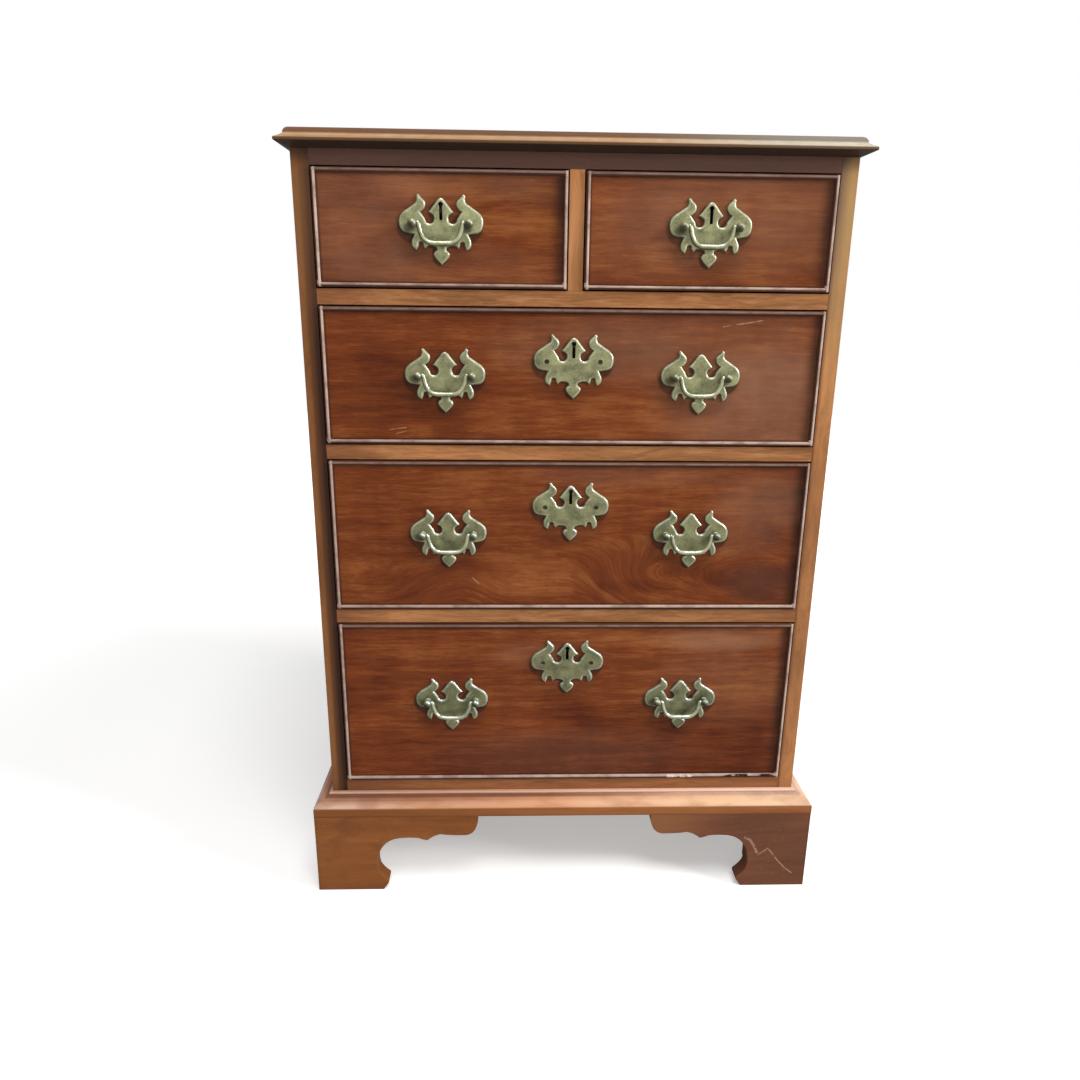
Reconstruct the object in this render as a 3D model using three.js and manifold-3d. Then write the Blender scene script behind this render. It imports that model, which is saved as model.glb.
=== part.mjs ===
// Bachelors chest: two small drawers over three long ones, moulded top, bracket feet.
// Millimetres, +Z up. The front faces -Y, and the origin is the middle of the footprint on the floor.

import * as THREE from 'three';
import { mergeVertices } from 'three/addons/utils/BufferGeometryUtils.js';
import Module from 'manifold-3d';

const wasm = await Module();
wasm.setup();

// Carcase sizes
const carcaseWidth = 508;
const carcaseDepth = 360;
const sideThickness = 15.9;
const bottomThickness = 13.5;
const topRailHeight = 14;
const railThickness = 14.5;
const railDepth = 60;
const dustboardThickness = 9;
const housingDepth = 6;
const housingStop = 8;
const backThickness = 10;
const backRebate = 9;
const backBoards = 4;
const jointDepth = 1.6;
const muntinWidth = 13.8;
const muntinDepth = 45;
const guideHeight = 25;

// Drawer stops, small blocks that meet the back of a drawer front
const stopWidth = 36;
const stopLength = 18;
const stopHeight = 4.4;
const stopShare = 0.52;

// Top board and its moulded edge, each reach counted out from the carcase face
const topThickness = 16.5;
const noseReach = 11.3;
const noseHeight = 2.8;
const noseRise = 4;
const shoulderRise = 4.1;
const shoulderHollow = 0.5;
const roundReach = 4.3;
const roundInset = 1.2;
const roundSteps = 3;

// Base frame and its moulded edge
const frameThickness = 21.5;
const frameReach = 18.2;
const frameRailWidth = 62;
const fasciaHeight = 9.6;
const baseBeadHeight = 3;
const baseBeadReach = 3.6;
const quirkDepth = 0.8;
const ovoloStart = Math.PI / 5;
const ovoloSteps = 4;

// Bracket feet
const footHeight = 93;
const bracketThickness = 17;
const frontBracketLength = 178;
const sideBracketLength = 152;
const backBracketLength = 120;
const footPad = 72;
const cornerBlock = 38;
const bracketSteps = 3;

// Drawers
const drawerGap = 1.2;
const runnerGap = 0.3;
const drawerBackGap = 12;
const frontThickness = 20;
const beadWidth = 4;
const beadReach = 3;
const beadSteps = 6;
const liningThickness = 9;
const drawerBackThickness = 9;
const liningDrop = 3;
const panelThickness = 6;
const panelRise = 6;
const grooveDepth = 4.5;
const panelMargin = 0.5;
const fitGap = 0.3;

// Dovetails between a drawer front and its sides
const tailLength = 14;
const tailPitch = 46;
const tailNeckShare = 0.56;
const tailFlare = 2.2;
const tailGap = 0.3;

// Handle plates, escutcheons and their cut-outs
const plateWidth = 76.4;
const plateHeight = 60.4;
const plateThickness = 1.8;
const plateBevel = 0.7;
const plateSteps = 2;
const keyholeRadius = 2.2;
const keyholeWidth = 3;
const keyholeDrop = 13.4;
const keyholeRise = 21.6;
const keyholeSteps = 6;
const escutcheonHole = 2.3;
const handleSpread = 243.6;

// Ball-headed posts, their shanks and nuts
const postSpacing = 50.8;
const postRise = 5;
const ballRadius = 3.7;
const ballStand = 8.6;
const postNeck = 2;
const postCollar = 3.2;
const shankRadius = 1.9;
const shankHole = 2.3;
const nutHalf = 4.2;
const nutThickness = 2.8;
const postSides = 8;
const rodSides = 6;
const ballRings = 3;

// Swan-neck bails
const pinRadius = 1.1;
const pinHole = 1.4;
const pinDepth = 1.2;
const pinEndGap = 0.4;
const bailRadius = 1.5;
const bailMiddle = 1.9;
const bailDrop = 17;
const bailHalf = 17.6;
const neckRise = 1.5;
const bailSides = 5;
const bailSteps = 3;

// Locks
const lockWidth = 46;
const lockHeight = 36;
const lockDepth = 9.5;
const lockFlange = 5;
const lockSkin = 1.6;
const boltWidth = 18;
const boltThickness = 5;
const boltLength = 20;
const boltTravel = 7;
const woodKeyholeWidth = 4;

// Overrun of a cutter past the face that it opens, and of a joined piece into its neighbour
const overrun = 2;

// Places that follow from the sizes
const carcaseHalf = carcaseWidth / 2;
const innerHalf = carcaseHalf - sideThickness;
const front = (frameReach - carcaseDepth) / 2;
const back = front + carcaseDepth;
const backInner = back - backThickness;
const drawerLength = backInner - front - drawerBackGap;
const baseTop = footHeight + frameThickness;
const housedHalf = innerHalf + housingDepth;
const longHalf = innerHalf - drawerGap;
const smallWidth = longHalf - muntinWidth / 2 - drawerGap;
const smallCentre = muntinWidth / 2 + drawerGap + smallWidth / 2;
const plateHalfWidth = plateWidth / 2;
const plateHalfHeight = plateHeight / 2;

// The drawers from the floor up. A drop is the distance down from the drawer's middle to the middle of a
// handle plate. A keyplate drop is the distance from the drawer's top edge to the middle of the keyhole
// plate.
const lowerRow = { name: 'lower', height: 181.8, handleDrop: 1.1, keyplateDrop: 49 };
const middleRow = { name: 'middle', height: 153.5, handleDrop: 2.2, keyplateDrop: 51 };
const upperRow = { name: 'upper', height: 127.6, handleDrop: 3.7, keyplateDrop: 53.5 };
const topRow = { name: 'top', height: 101.5, handleDrop: 0, keyplateDrop: 51.4 };
const rows = [lowerRow, middleRow, upperRow, topRow];

let openingFloor = baseTop + bottomThickness;
for (const row of rows) {
  row.floor = openingFloor;
  row.ceiling = openingFloor + row.height + 2 * drawerGap;
  openingFloor = row.ceiling + railThickness;
}
const topUnder = topRow.ceiling + topRailHeight;
const topFace = topUnder + topThickness;

// Finishes
const finish = (color, roughness, metalness) => (
  new THREE.MeshStandardMaterial({ color, roughness, metalness })
);
const mahogany = finish(0x6e2f18, 0.35, 0);
const paleMahogany = finish(0x8a5527, 0.4, 0);
const oak = finish(0xa98a5c, 0.7, 0);
const pine = finish(0x9c7748, 0.75, 0);
const brass = finish(0x7d7a4e, 0.45, 0.9);
const lockIron = finish(0x5b5347, 0.5, 0.85);

// Solids and meshes

function closed(geometry) {
  const bare = geometry.index ? geometry.toNonIndexed() : geometry.clone();
  bare.deleteAttribute('normal');
  bare.deleteAttribute('uv');
  const merged = mergeVertices(bare);
  const vertProperties = Float32Array.from(merged.attributes.position.array);
  const triVerts = Uint32Array.from(merged.index.array);
  return new wasm.Manifold(new wasm.Mesh({ numProp: 3, vertProperties, triVerts }));
}

function piece(name, solid, material) {
  const { vertProperties, triVerts } = solid.getMesh();
  const geometry = new THREE.BufferGeometry();
  geometry.setAttribute('position', new THREE.BufferAttribute(vertProperties, 3));
  geometry.setIndex(new THREE.BufferAttribute(triVerts, 1));
  geometry.computeVertexNormals();
  const mesh = new THREE.Mesh(geometry, material);
  mesh.name = name;
  return mesh;
}

const join = (solids) => solids.reduce((whole, solid) => whole.add(solid));
const cut = (solid, cutters) => cutters.reduce((rest, cutter) => rest.subtract(cutter), solid);

// A box between two corners
function block(x0, x1, y0, y1, z0, z1) {
  const geometry = new THREE.BoxGeometry(x1 - x0, y1 - y0, z1 - z0);
  geometry.translate((x0 + x1) / 2, (y0 + y1) / 2, (z0 + z1) / 2);
  return closed(geometry);
}

// Rings of points with flat ends, joined ring by ring into one closed body
function loft(rings) {
  const count = rings[0].length;
  const positions = rings.flat().flatMap((point) => [point.x, point.y, point.z]);
  const faces = [];
  for (let ring = 0; ring + 1 < rings.length; ring += 1) {
    for (let side = 0; side < count; side += 1) {
      const a = ring * count + side;
      const b = ring * count + ((side + 1) % count);
      faces.push(a, b, b + count, a, b + count, a + count);
    }
  }
  const last = (rings.length - 1) * count;
  for (let side = 1; side + 1 < count; side += 1) {
    faces.push(0, side + 1, side);
    faces.push(last, last + side, last + side + 1);
  }
  const geometry = new THREE.BufferGeometry();
  geometry.setAttribute('position', new THREE.Float32BufferAttribute(positions, 3));
  geometry.setIndex(faces);
  return closed(geometry);
}

// An outline in (y, z), extruded along X from x0 to x1
function slabAlongX(outline, x0, x1) {
  const geometry = new THREE.ExtrudeGeometry(outline, { depth: x1 - x0, bevelEnabled: false });
  geometry.applyMatrix4(new THREE.Matrix4().set(0, 0, 1, x0, 1, 0, 0, 0, 0, 1, 0, 0, 0, 0, 0, 1));
  return closed(geometry);
}

// An outline in (x, z), extruded along Y from y0 to y1
function slabAlongY(outline, y0, y1) {
  const geometry = new THREE.ExtrudeGeometry(outline, { depth: y1 - y0, bevelEnabled: false });
  geometry.applyMatrix4(new THREE.Matrix4().set(1, 0, 0, 0, 0, 0, -1, y1, 0, 1, 0, 0, 0, 0, 0, 1));
  return closed(geometry);
}

// Round bars along Y and X, turned so that a flat faces up
function barAlongY(radius, x, z, y0, y1) {
  const geometry = new THREE.CylinderGeometry(radius, radius, y1 - y0, rodSides);
  geometry.rotateY(Math.PI / rodSides);
  geometry.translate(x, (y0 + y1) / 2, z);
  return closed(geometry);
}

function barAlongX(radius, y, z, x0, x1) {
  const geometry = new THREE.CylinderGeometry(radius, radius, x1 - x0, rodSides);
  geometry.rotateY(Math.PI / rodSides);
  geometry.rotateZ(-Math.PI / 2);
  geometry.translate((x0 + x1) / 2, y, z);
  return closed(geometry);
}

function outlineOf(points) {
  return new THREE.Shape(points.map(([u, v]) => new THREE.Vector2(u, v)));
}

// Carcase

// The section of a rail with its dustboard, from a given front edge back
function railSection(railTop, frontEdge) {
  const joint = front + railDepth;
  return outlineOf([
    [frontEdge, railTop - railThickness],
    [joint, railTop - railThickness],
    [joint, railTop - dustboardThickness],
    [backInner, railTop - dustboardThickness],
    [backInner, railTop],
    [frontEdge, railTop],
  ]);
}

// The blocks on a rail that the drawers of the row above close against
function drawerStops(row) {
  const spread = row === topRow ? smallCentre : stopShare * longHalf;
  const stopFront = front + frontThickness;
  return [-spread, spread].map((x) => block(
    x - stopWidth / 2, x + stopWidth / 2,
    stopFront, stopFront + stopLength,
    row.floor - overrun, row.floor + stopHeight,
  ));
}

// The slot above each lock that its bolt rises into
function boltMortises(row) {
  const middle = front + frontThickness - lockDepth / 2;
  const centres = row === topRow ? [-smallCentre, smallCentre] : [0];
  return centres.map((x) => block(
    x - boltWidth / 2 - fitGap, x + boltWidth / 2 + fitGap,
    middle - boltThickness / 2 - fitGap, middle + boltThickness / 2 + fitGap,
    row.ceiling - overrun, row.ceiling + boltTravel + fitGap,
  ));
}

function rail(name, rowBelow, rowAbove) {
  const board = slabAlongX(railSection(rowAbove.floor, front), -innerHalf, innerHalf);
  const tongue = slabAlongX(railSection(rowAbove.floor, front + housingStop), -housedHalf, housedHalf);
  const whole = join([board, tongue, ...drawerStops(rowAbove)]);
  return piece(name, cut(whole, boltMortises(rowBelow)), paleMahogany);
}

function bottomBoard() {
  const board = block(-innerHalf, innerHalf, front, backInner, baseTop, lowerRow.floor);
  const tongue = block(-housedHalf, housedHalf, front + housingStop, backInner, baseTop, lowerRow.floor);
  return piece('bottom_board', join([board, tongue, ...drawerStops(lowerRow)]), paleMahogany);
}

function topRail() {
  const joint = front + railDepth;
  const board = block(-innerHalf, innerHalf, front, joint, topRow.ceiling, topUnder);
  const tongue = block(-housedHalf, housedHalf, front + housingStop, joint, topRow.ceiling, topUnder);
  return piece('top_rail', cut(join([board, tongue]), boltMortises(topRow)), mahogany);
}

function sideBoard(name, hand) {
  const span = (from, to) => (hand < 0 ? [-to, -from] : [from, to]);
  const board = block(...span(innerHalf, carcaseHalf), front, back, baseTop, topUnder);
  const stop = front + housingStop;
  const housings = rows.slice(1).map((row) => (
    slabAlongX(railSection(row.floor, stop), ...span(innerHalf - overrun, housedHalf))
  ));
  housings.push(block(...span(innerHalf - overrun, housedHalf), stop, backInner,
    baseTop - overrun, lowerRow.floor));
  housings.push(block(...span(innerHalf - overrun, housedHalf), stop, front + railDepth,
    topRow.ceiling, topUnder + overrun));
  housings.push(block(...span(innerHalf - overrun, innerHalf + backRebate), backInner, back + overrun,
    baseTop - overrun, topUnder + overrun));
  return piece(name, cut(board, housings), paleMahogany);
}

// Upright boards side by side, with a V along each joint on the outside
function backPanel() {
  const half = innerHalf + backRebate;
  const joints = [];
  for (let joint = 1; joint < backBoards; joint += 1) {
    const x = -half + (joint / backBoards) * 2 * half;
    const section = [[x - jointDepth, back], [x, back - jointDepth], [x + jointDepth, back]];
    joints.push(loft([baseTop - overrun, topUnder + overrun].map((z) => (
      section.map(([u, v]) => new THREE.Vector3(u, v, z))
    ))));
  }
  return piece('back_panel', cut(block(-half, half, backInner, back, baseTop, topUnder), joints), pine);
}

function muntin() {
  const half = muntinWidth / 2;
  const post = block(-half, half, front, front + muntinDepth, topRow.floor, topRow.ceiling);
  return piece('muntin', post, paleMahogany);
}

function drawerGuide() {
  const half = muntinWidth / 2;
  const strip = block(-half, half, front + muntinDepth, backInner, topRow.floor, topRow.floor + guideHeight);
  return piece('drawer_guide', strip, pine);
}

// A board whose front and ends carry a moulding and whose back is plain, built up level by level
function mouldedBoard(levels) {
  return loft(levels.map(({ reach, z }) => [
    new THREE.Vector3(-carcaseHalf - reach, front - reach, z),
    new THREE.Vector3(carcaseHalf + reach, front - reach, z),
    new THREE.Vector3(carcaseHalf + reach, back, z),
    new THREE.Vector3(-carcaseHalf - reach, back, z),
  ]));
}

// Undercut, thin nose, hollow shoulder, then a quarter round up to the top face
function topBoard() {
  const noseTop = topUnder + noseRise + noseHeight;
  const roundFoot = noseTop + shoulderRise;
  const levels = [
    { reach: 0, z: topUnder },
    { reach: noseReach, z: topUnder + noseRise },
    { reach: noseReach, z: noseTop },
    { reach: (noseReach + roundReach) / 2, z: (noseTop + roundFoot) / 2 - shoulderHollow },
  ];
  for (let step = 0; step <= roundSteps; step += 1) {
    const angle = (step / roundSteps) * (Math.PI / 2);
    levels.push({
      reach: -roundInset + (roundReach + roundInset) * Math.cos(angle),
      z: roundFoot + (topFace - roundFoot) * Math.sin(angle),
    });
  }
  return piece('top_board', mouldedBoard(levels), mahogany);
}

// Plain fascia, broad round from an arris to a flat top, quirk and small bead, with an open middle
function baseFrame() {
  const fasciaTop = footHeight + fasciaHeight;
  const beadUnder = baseTop - baseBeadHeight;
  const quirkReach = baseBeadReach - quirkDepth;
  const levels = [
    { reach: frameReach, z: footHeight },
    { reach: frameReach, z: fasciaTop },
  ];
  for (let step = 1; step <= ovoloSteps; step += 1) {
    const angle = ovoloStart + (step / ovoloSteps) * (Math.PI / 2 - ovoloStart);
    const outShare = Math.cos(angle) / Math.cos(ovoloStart);
    const upShare = (Math.sin(angle) - Math.sin(ovoloStart)) / (1 - Math.sin(ovoloStart));
    levels.push({
      reach: baseBeadReach + (frameReach - baseBeadReach) * outShare,
      z: fasciaTop + (beadUnder - quirkDepth - fasciaTop) * upShare,
    });
  }
  levels.push(
    { reach: quirkReach, z: beadUnder },
    { reach: baseBeadReach, z: beadUnder + baseBeadHeight / 3 },
    { reach: baseBeadReach, z: baseTop - baseBeadHeight / 3 },
    { reach: quirkReach, z: baseTop },
  );
  const wellHalf = carcaseHalf + frameReach - frameRailWidth;
  const well = block(-wellHalf, wellHalf, front - frameReach + frameRailWidth, back - frameRailWidth,
    footHeight - overrun, baseTop + overrun);
  return piece('base_frame', cut(mouldedBoard(levels), [well]), paleMahogany);
}

// Feet

// The lower edge of a bracket from its inner end down to the pad. Each row is a curve's control point and its
// end, as shares of the bracket's length past the pad and of its height.
const bracketStartShares = [1, 1];
const bracketCurveShares = [
  [0.99, 0.745, 0.86, 0.741],
  [0.72, 0.738, 0.613, 0.757],
  [0.547, 0.751, 0.472, 0.677],
  [0.434, 0.68, 0.377, 0.708],
  [0.264, 0.722, 0.16, 0.704],
  [0.028, 0.672, -0.024, 0.529],
  [-0.075, 0.39, -0.042, 0.254],
  [-0.019, 0.196, 0.052, 0.127],
  [0.061, 0.095, 0.033, 0.058],
];
const bracketHeelShares = [0, 0];

// A bracket's outline, laid out from the outer corner of its foot towards the middle of the chest
function bracketOutline(length) {
  const along = (share) => footPad + share * (length - footPad);
  const up = (share) => share * footHeight;
  const shape = new THREE.Shape();
  shape.moveTo(0, 0);
  shape.lineTo(0, footHeight);
  shape.lineTo(along(bracketStartShares[0]), up(bracketStartShares[1]));
  for (const [u0, v0, u1, v1] of bracketCurveShares) {
    shape.quadraticCurveTo(along(u0), up(v0), along(u1), up(v1));
  }
  shape.lineTo(along(bracketHeelShares[0]), up(bracketHeelShares[1]));
  return shape.getPoints(bracketSteps).map(({ x, y }) => [x, y]);
}

// The plain board at the back of a rear foot, cut away on a slant
function backBracketOutline() {
  return [
    [0, 0],
    [0, footHeight],
    [backBracketLength, footHeight],
    [backBracketLength, footHeight - bracketThickness],
    [footPad, 0],
  ];
}

// One foot: a bracket along the front or back, a bracket along the side and the block in their corner
function foot(name, hand, isRear) {
  const cornerX = hand * (carcaseHalf + frameReach);
  const cornerY = isRear ? back : front - frameReach;
  const inward = isRear ? -1 : 1;
  const faceOutline = isRear ? backBracketOutline() : bracketOutline(frontBracketLength);
  const faceShape = outlineOf(faceOutline.map(([u, v]) => [cornerX - hand * u, v]));
  const sideShape = outlineOf(bracketOutline(sideBracketLength).map(([u, v]) => [cornerY + inward * u, v]));
  const spanY = [cornerY, cornerY + inward * bracketThickness].sort((a, b) => a - b);
  const spanX = [cornerX, cornerX - hand * bracketThickness].sort((a, b) => a - b);
  const blockX = [cornerX, cornerX - hand * (bracketThickness + cornerBlock)].sort((a, b) => a - b);
  const blockY = [cornerY, cornerY + inward * (bracketThickness + cornerBlock)].sort((a, b) => a - b);
  const boards = [
    slabAlongY(faceShape, ...spanY),
    slabAlongX(sideShape, ...spanX),
    block(...blockX, ...blockY, 0, footHeight),
  ];
  return piece(name, join(boards), paleMahogany);
}

// Drawers. Each is made in its own frame: x from its middle, y back from its face, z up from its lower edge.

// Rectangles inset from the front's outer edge, at one depth each
function drawerBlank(width, height) {
  const half = width / 2;
  const nose = beadWidth / 2;
  const shoulder = beadReach - nose;
  const levels = [{ inset: 0, y: frontThickness }];
  for (let step = 0; step <= beadSteps; step += 1) {
    const angle = (step / beadSteps) * Math.PI;
    levels.push({ inset: nose * (1 - Math.cos(angle)), y: -shoulder - nose * Math.sin(angle) });
  }
  levels.push({ inset: beadWidth, y: 0 });
  return loft(levels.map(({ inset, y }) => [
    new THREE.Vector3(-half + inset, y, inset),
    new THREE.Vector3(half - inset, y, inset),
    new THREE.Vector3(half - inset, y, height - inset),
    new THREE.Vector3(-half + inset, y, height - inset),
  ]));
}

// The tails on a drawer side as a list of outlines in (y, z), grown by a margin
function tails(height, margin) {
  const low = runnerGap - drawerGap;
  const high = height - liningDrop;
  const count = Math.max(2, Math.round((high - low) / tailPitch));
  const pitch = (high - low) / count;
  const neck = (pitch * tailNeckShare) / 2;
  const tip = neck + tailFlare;
  return Array.from({ length: count }, (_, index) => {
    const middle = low + (index + 1 / 2) * pitch;
    return [
      [frontThickness + margin, middle - neck - margin],
      [frontThickness - tailLength - margin, middle - tip - margin],
      [frontThickness - tailLength - margin, middle + tip + margin],
      [frontThickness + margin, middle + neck + margin],
    ];
  });
}

// Outline of a keyhole in (x, z) about the middle of its round eye
function keyholeOutline(x, z, radius, width, drop) {
  const half = width / 2;
  const start = Math.asin(half / radius);
  const points = [[x + half, z - drop], [x - half, z - drop]];
  for (let step = 0; step <= keyholeSteps; step += 1) {
    const angle = -start - (step / keyholeSteps) * 2 * (Math.PI - start);
    points.push([x + radius * Math.sin(angle), z - radius * Math.cos(angle)]);
  }
  return points;
}

function drawerFront(drawer) {
  const { width, height, posts, keyZ } = drawer;
  const half = width / 2;
  const cutters = [];
  for (const tail of tails(height, tailGap)) {
    cutters.push(slabAlongX(outlineOf(tail), half - liningThickness - tailGap, half + overrun));
    cutters.push(slabAlongX(outlineOf(tail), -half - overrun, tailGap + liningThickness - half));
  }
  const grooveHalf = half - liningThickness + grooveDepth;
  cutters.push(block(-grooveHalf, grooveHalf, frontThickness - panelThickness, frontThickness + overrun,
    panelRise, panelRise + panelThickness + fitGap));
  cutters.push(lockOutline(height, fitGap));
  cutters.push(block(-woodKeyholeWidth / 2, woodKeyholeWidth / 2,
    -overrun, frontThickness - lockDepth, keyZ - keyholeDrop, keyZ + keyholeRadius));
  for (const [x, z] of posts) {
    cutters.push(barAlongY(shankHole, x, z, -overrun, frontThickness + overrun));
  }
  return piece(`${drawer.name}_drawer_front`, cut(drawerBlank(width, height), cutters), mahogany);
}

// Two sides and a back, with tails at the front and a groove for the bottom panel
function drawerBox(drawer) {
  const { width, height } = drawer;
  const half = width / 2;
  const low = runnerGap - drawerGap;
  const high = height - liningDrop;
  const backFace = drawerLength - drawerBackThickness;
  const panelTop = panelRise + panelThickness;
  const sideOutline = outlineOf([
    [drawerLength, low],
    [frontThickness, low],
    ...tails(height, 0).flat(),
    [frontThickness, high],
    [drawerLength, high],
  ]);
  const sides = [-half, half - liningThickness].map((x) => (
    slabAlongX(sideOutline, x, x + liningThickness)
  ));
  const inside = half - liningThickness;
  const jointHalf = inside + liningThickness / 2;
  const backBoard = block(-jointHalf, jointHalf, backFace, drawerLength, panelTop, high);
  const grooveHalf = inside + grooveDepth;
  const groove = block(-grooveHalf, grooveHalf, frontThickness - tailLength - overrun, drawerLength + overrun,
    panelRise, panelTop + fitGap);
  return piece(`${drawer.name}_drawer_box`, cut(join([...sides, backBoard]), [groove]), oak);
}

function drawerBottom(drawer) {
  const half = drawer.width / 2 - liningThickness + grooveDepth - panelMargin;
  const panel = block(-half, half, frontThickness - panelThickness + panelMargin, drawerLength,
    panelRise, panelRise + panelThickness);
  return piece(`${drawer.name}_drawer_bottom`, panel, oak);
}

// Lock case: body, wide back plate flush with the inside of the front, and top plate flush with its edge
function lockOutline(height, margin) {
  const half = lockWidth / 2 + margin;
  const wide = half + lockFlange;
  const caseFront = frontThickness - lockDepth - margin;
  const under = height - lockHeight - margin;
  return join([
    block(-half, half, caseFront, frontThickness, under, height),
    block(-wide, wide, frontThickness - lockSkin - margin, frontThickness, under, height),
    block(-wide, wide, caseFront, frontThickness, height - lockSkin - margin, height),
  ]);
}

function lockCase(drawer) {
  const { height, keyZ } = drawer;
  const middle = frontThickness - lockDepth / 2;
  const boltSlot = block(
    -boltWidth / 2 - fitGap, boltWidth / 2 + fitGap,
    middle - boltThickness / 2 - fitGap, middle + boltThickness / 2 + fitGap,
    height - boltLength - fitGap, height + overrun,
  );
  const keySlot = block(-woodKeyholeWidth / 2, woodKeyholeWidth / 2,
    frontThickness - lockDepth - overrun, middle, height - lockHeight + lockSkin, keyZ + keyholeRadius);
  return piece(`${drawer.name}_lock_case`, cut(lockOutline(height, 0), [boltSlot, keySlot]), lockIron);
}

function lockBolt(drawer) {
  const middle = frontThickness - lockDepth / 2;
  const bolt = block(-boltWidth / 2, boltWidth / 2, middle - boltThickness / 2, middle + boltThickness / 2,
    drawer.height - boltLength, drawer.height);
  return piece(`${drawer.name}_lock_bolt`, bolt, lockIron);
}

// Brasses. A plate is made about its own middle and lies on the drawer face.

// Half of the plate's outline, from the peak round to the tip of the drop. A row of two is the end of a
// straight, a row of four is a curve's control point and its end, all as shares of half the plate's sizes.
const peakShares = [0, 0.899];
const plateShares = [
  [0.063, 0.892, 0.105, 0.807],
  [0.241, 0.584],
  [0.306, 0.493],
  [0.233, 0.436],
  [0.173, 0.412, 0.173, 0.318],
  [0.178, 0.182, 0.275, 0.179],
  [0.366, 0.189, 0.374, 0.311],
  [0.482, 0.497],
  [0.382, 0.561, 0.361, 0.676],
  [0.34, 0.784, 0.414, 0.872],
  [0.534, 1],
  [0.534, 0.851, 0.586, 0.764],
  [0.801, 0.581],
  [0.995, 0.453, 1, 0.23],
  [1, -0.088, 0.791, -0.105],
  [0.641, -0.132],
  [0.704, -0.304],
  [0.743, -0.527, 0.586, -0.584],
  [0.545, -0.446],
  [0.55, -0.348, 0.495, -0.348],
  [0.435, -0.351, 0.442, -0.439],
  [0.403, -0.541],
  [0.314, -0.457],
  [0.212, -0.461],
  [0.125, -0.5],
  [0.113, -0.574],
  [0.199, -0.622, 0.194, -0.716],
  [0.173, -0.818, 0, -1],
];

function plateOutline() {
  const path = new THREE.Path();
  path.moveTo(peakShares[0] * plateHalfWidth, peakShares[1] * plateHalfHeight);
  for (const row of plateShares) {
    const sizes = row.map((share, index) => share * (index % 2 ? plateHalfHeight : plateHalfWidth));
    if (row.length === 2) path.lineTo(...sizes);
    else path.quadraticCurveTo(...sizes);
  }
  const right = path.getPoints(plateSteps).map(({ x, y }) => [x, y]);
  const left = right.slice(1, -1).reverse().map(([x, y]) => [-x, y]);
  return [...right, ...left];
}

// A flat plate with a bevelled front edge, its back at y = 0, pierced by the given outlines
function plate(x, z, openings) {
  const shape = outlineOf(plateOutline().map(([u, v]) => [x + u, z + v]));
  const geometry = new THREE.ExtrudeGeometry(shape, {
    depth: plateThickness - plateBevel,
    bevelThickness: plateBevel,
    bevelSize: plateBevel,
    bevelOffset: -plateBevel,
    bevelSegments: 1,
  });
  geometry.applyMatrix4(new THREE.Matrix4().set(1, 0, 0, 0, 0, 0, -1, 0, 0, 1, 0, 0, 0, 0, 0, 1));
  const behind = block(x - plateWidth, x + plateWidth, 0, plateThickness, z - plateHeight, z + plateHeight);
  return cut(closed(geometry), [behind, ...openings]);
}

function plateKeyhole(x, z) {
  const points = keyholeOutline(x, z + keyholeRise, keyholeRadius, keyholeWidth, keyholeDrop);
  return slabAlongY(outlineOf(points), -plateThickness - overrun, overrun);
}

// Ball, neck and collar in front of the plate, shank through the drawer front, square nut behind it
function post(x, z, hand) {
  const ball = Array.from({ length: ballRings }, (_, index) => {
    const angle = ((index + 1) / (ballRings + 1)) * Math.PI;
    return [ballRadius * Math.sin(angle), -ballStand - ballRadius * Math.cos(angle)];
  });
  const profile = [
    [0, -ballStand - ballRadius],
    ...ball,
    [postNeck, -plateThickness - postCollar / 2],
    [postCollar, -plateThickness],
    [postCollar, -plateThickness / 2],
    [0, -plateThickness / 2],
  ];
  const geometry = new THREE.LatheGeometry(profile.map(([r, y]) => new THREE.Vector2(r, y)), postSides);
  geometry.rotateY(Math.PI / postSides);
  geometry.translate(x, 0, z);
  const pinEnds = [x + hand * pinDepth, x - hand * (ballRadius + overrun)].sort((a, b) => a - b);
  const head = cut(closed(geometry), [barAlongX(pinHole, -ballStand, z, ...pinEnds)]);
  const shank = barAlongY(shankRadius, x, z, -plateThickness / 2, frontThickness + nutThickness / 2);
  const nut = block(x - nutHalf, x + nutHalf, frontThickness, frontThickness + nutThickness,
    z - nutHalf, z + nutHalf);
  return join([head, shank, nut]);
}

function handlePlate(name, x, z, hasKeyhole) {
  const flat = plate(x, z, hasKeyhole ? [plateKeyhole(x, z)] : []);
  const posts = [-1, 1].map((hand) => post(x + (hand * postSpacing) / 2, z + postRise, hand));
  return piece(name, join([flat, ...posts]), brass);
}

function escutcheon(name, x, z) {
  const openings = [-1, 1].map((hand) => (
    barAlongY(escutcheonHole, x + (hand * postSpacing) / 2, z + postRise, -plateThickness - overrun, overrun)
  ));
  return piece(name, plate(x, z, [plateKeyhole(x, z), ...openings]), brass);
}

// The bail's centreline from a pin end to the middle of the grip, in (x, z) from the middle of its pivot line
function bailPath() {
  const pinEnd = postSpacing / 2 + pinDepth - pinEndGap;
  const ballInside = postSpacing / 2 - ballRadius;
  const path = new THREE.Path();
  path.moveTo(pinEnd, 0);
  path.lineTo(ballInside, 0);
  path.quadraticCurveTo(bailHalf + neckRise, 2 * neckRise, bailHalf, -neckRise);
  path.quadraticCurveTo(bailHalf - neckRise, -bailDrop / 3, bailHalf, -bailDrop / 2);
  path.quadraticCurveTo(bailHalf - neckRise / 2, -bailDrop, bailHalf / 2, -bailDrop);
  path.lineTo(0, -bailDrop);
  const right = path.getPoints(bailSteps);
  const left = right.slice(0, -1).reverse().map(({ x, y }) => new THREE.Vector2(-x, y));
  return [...right, ...left];
}

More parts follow.
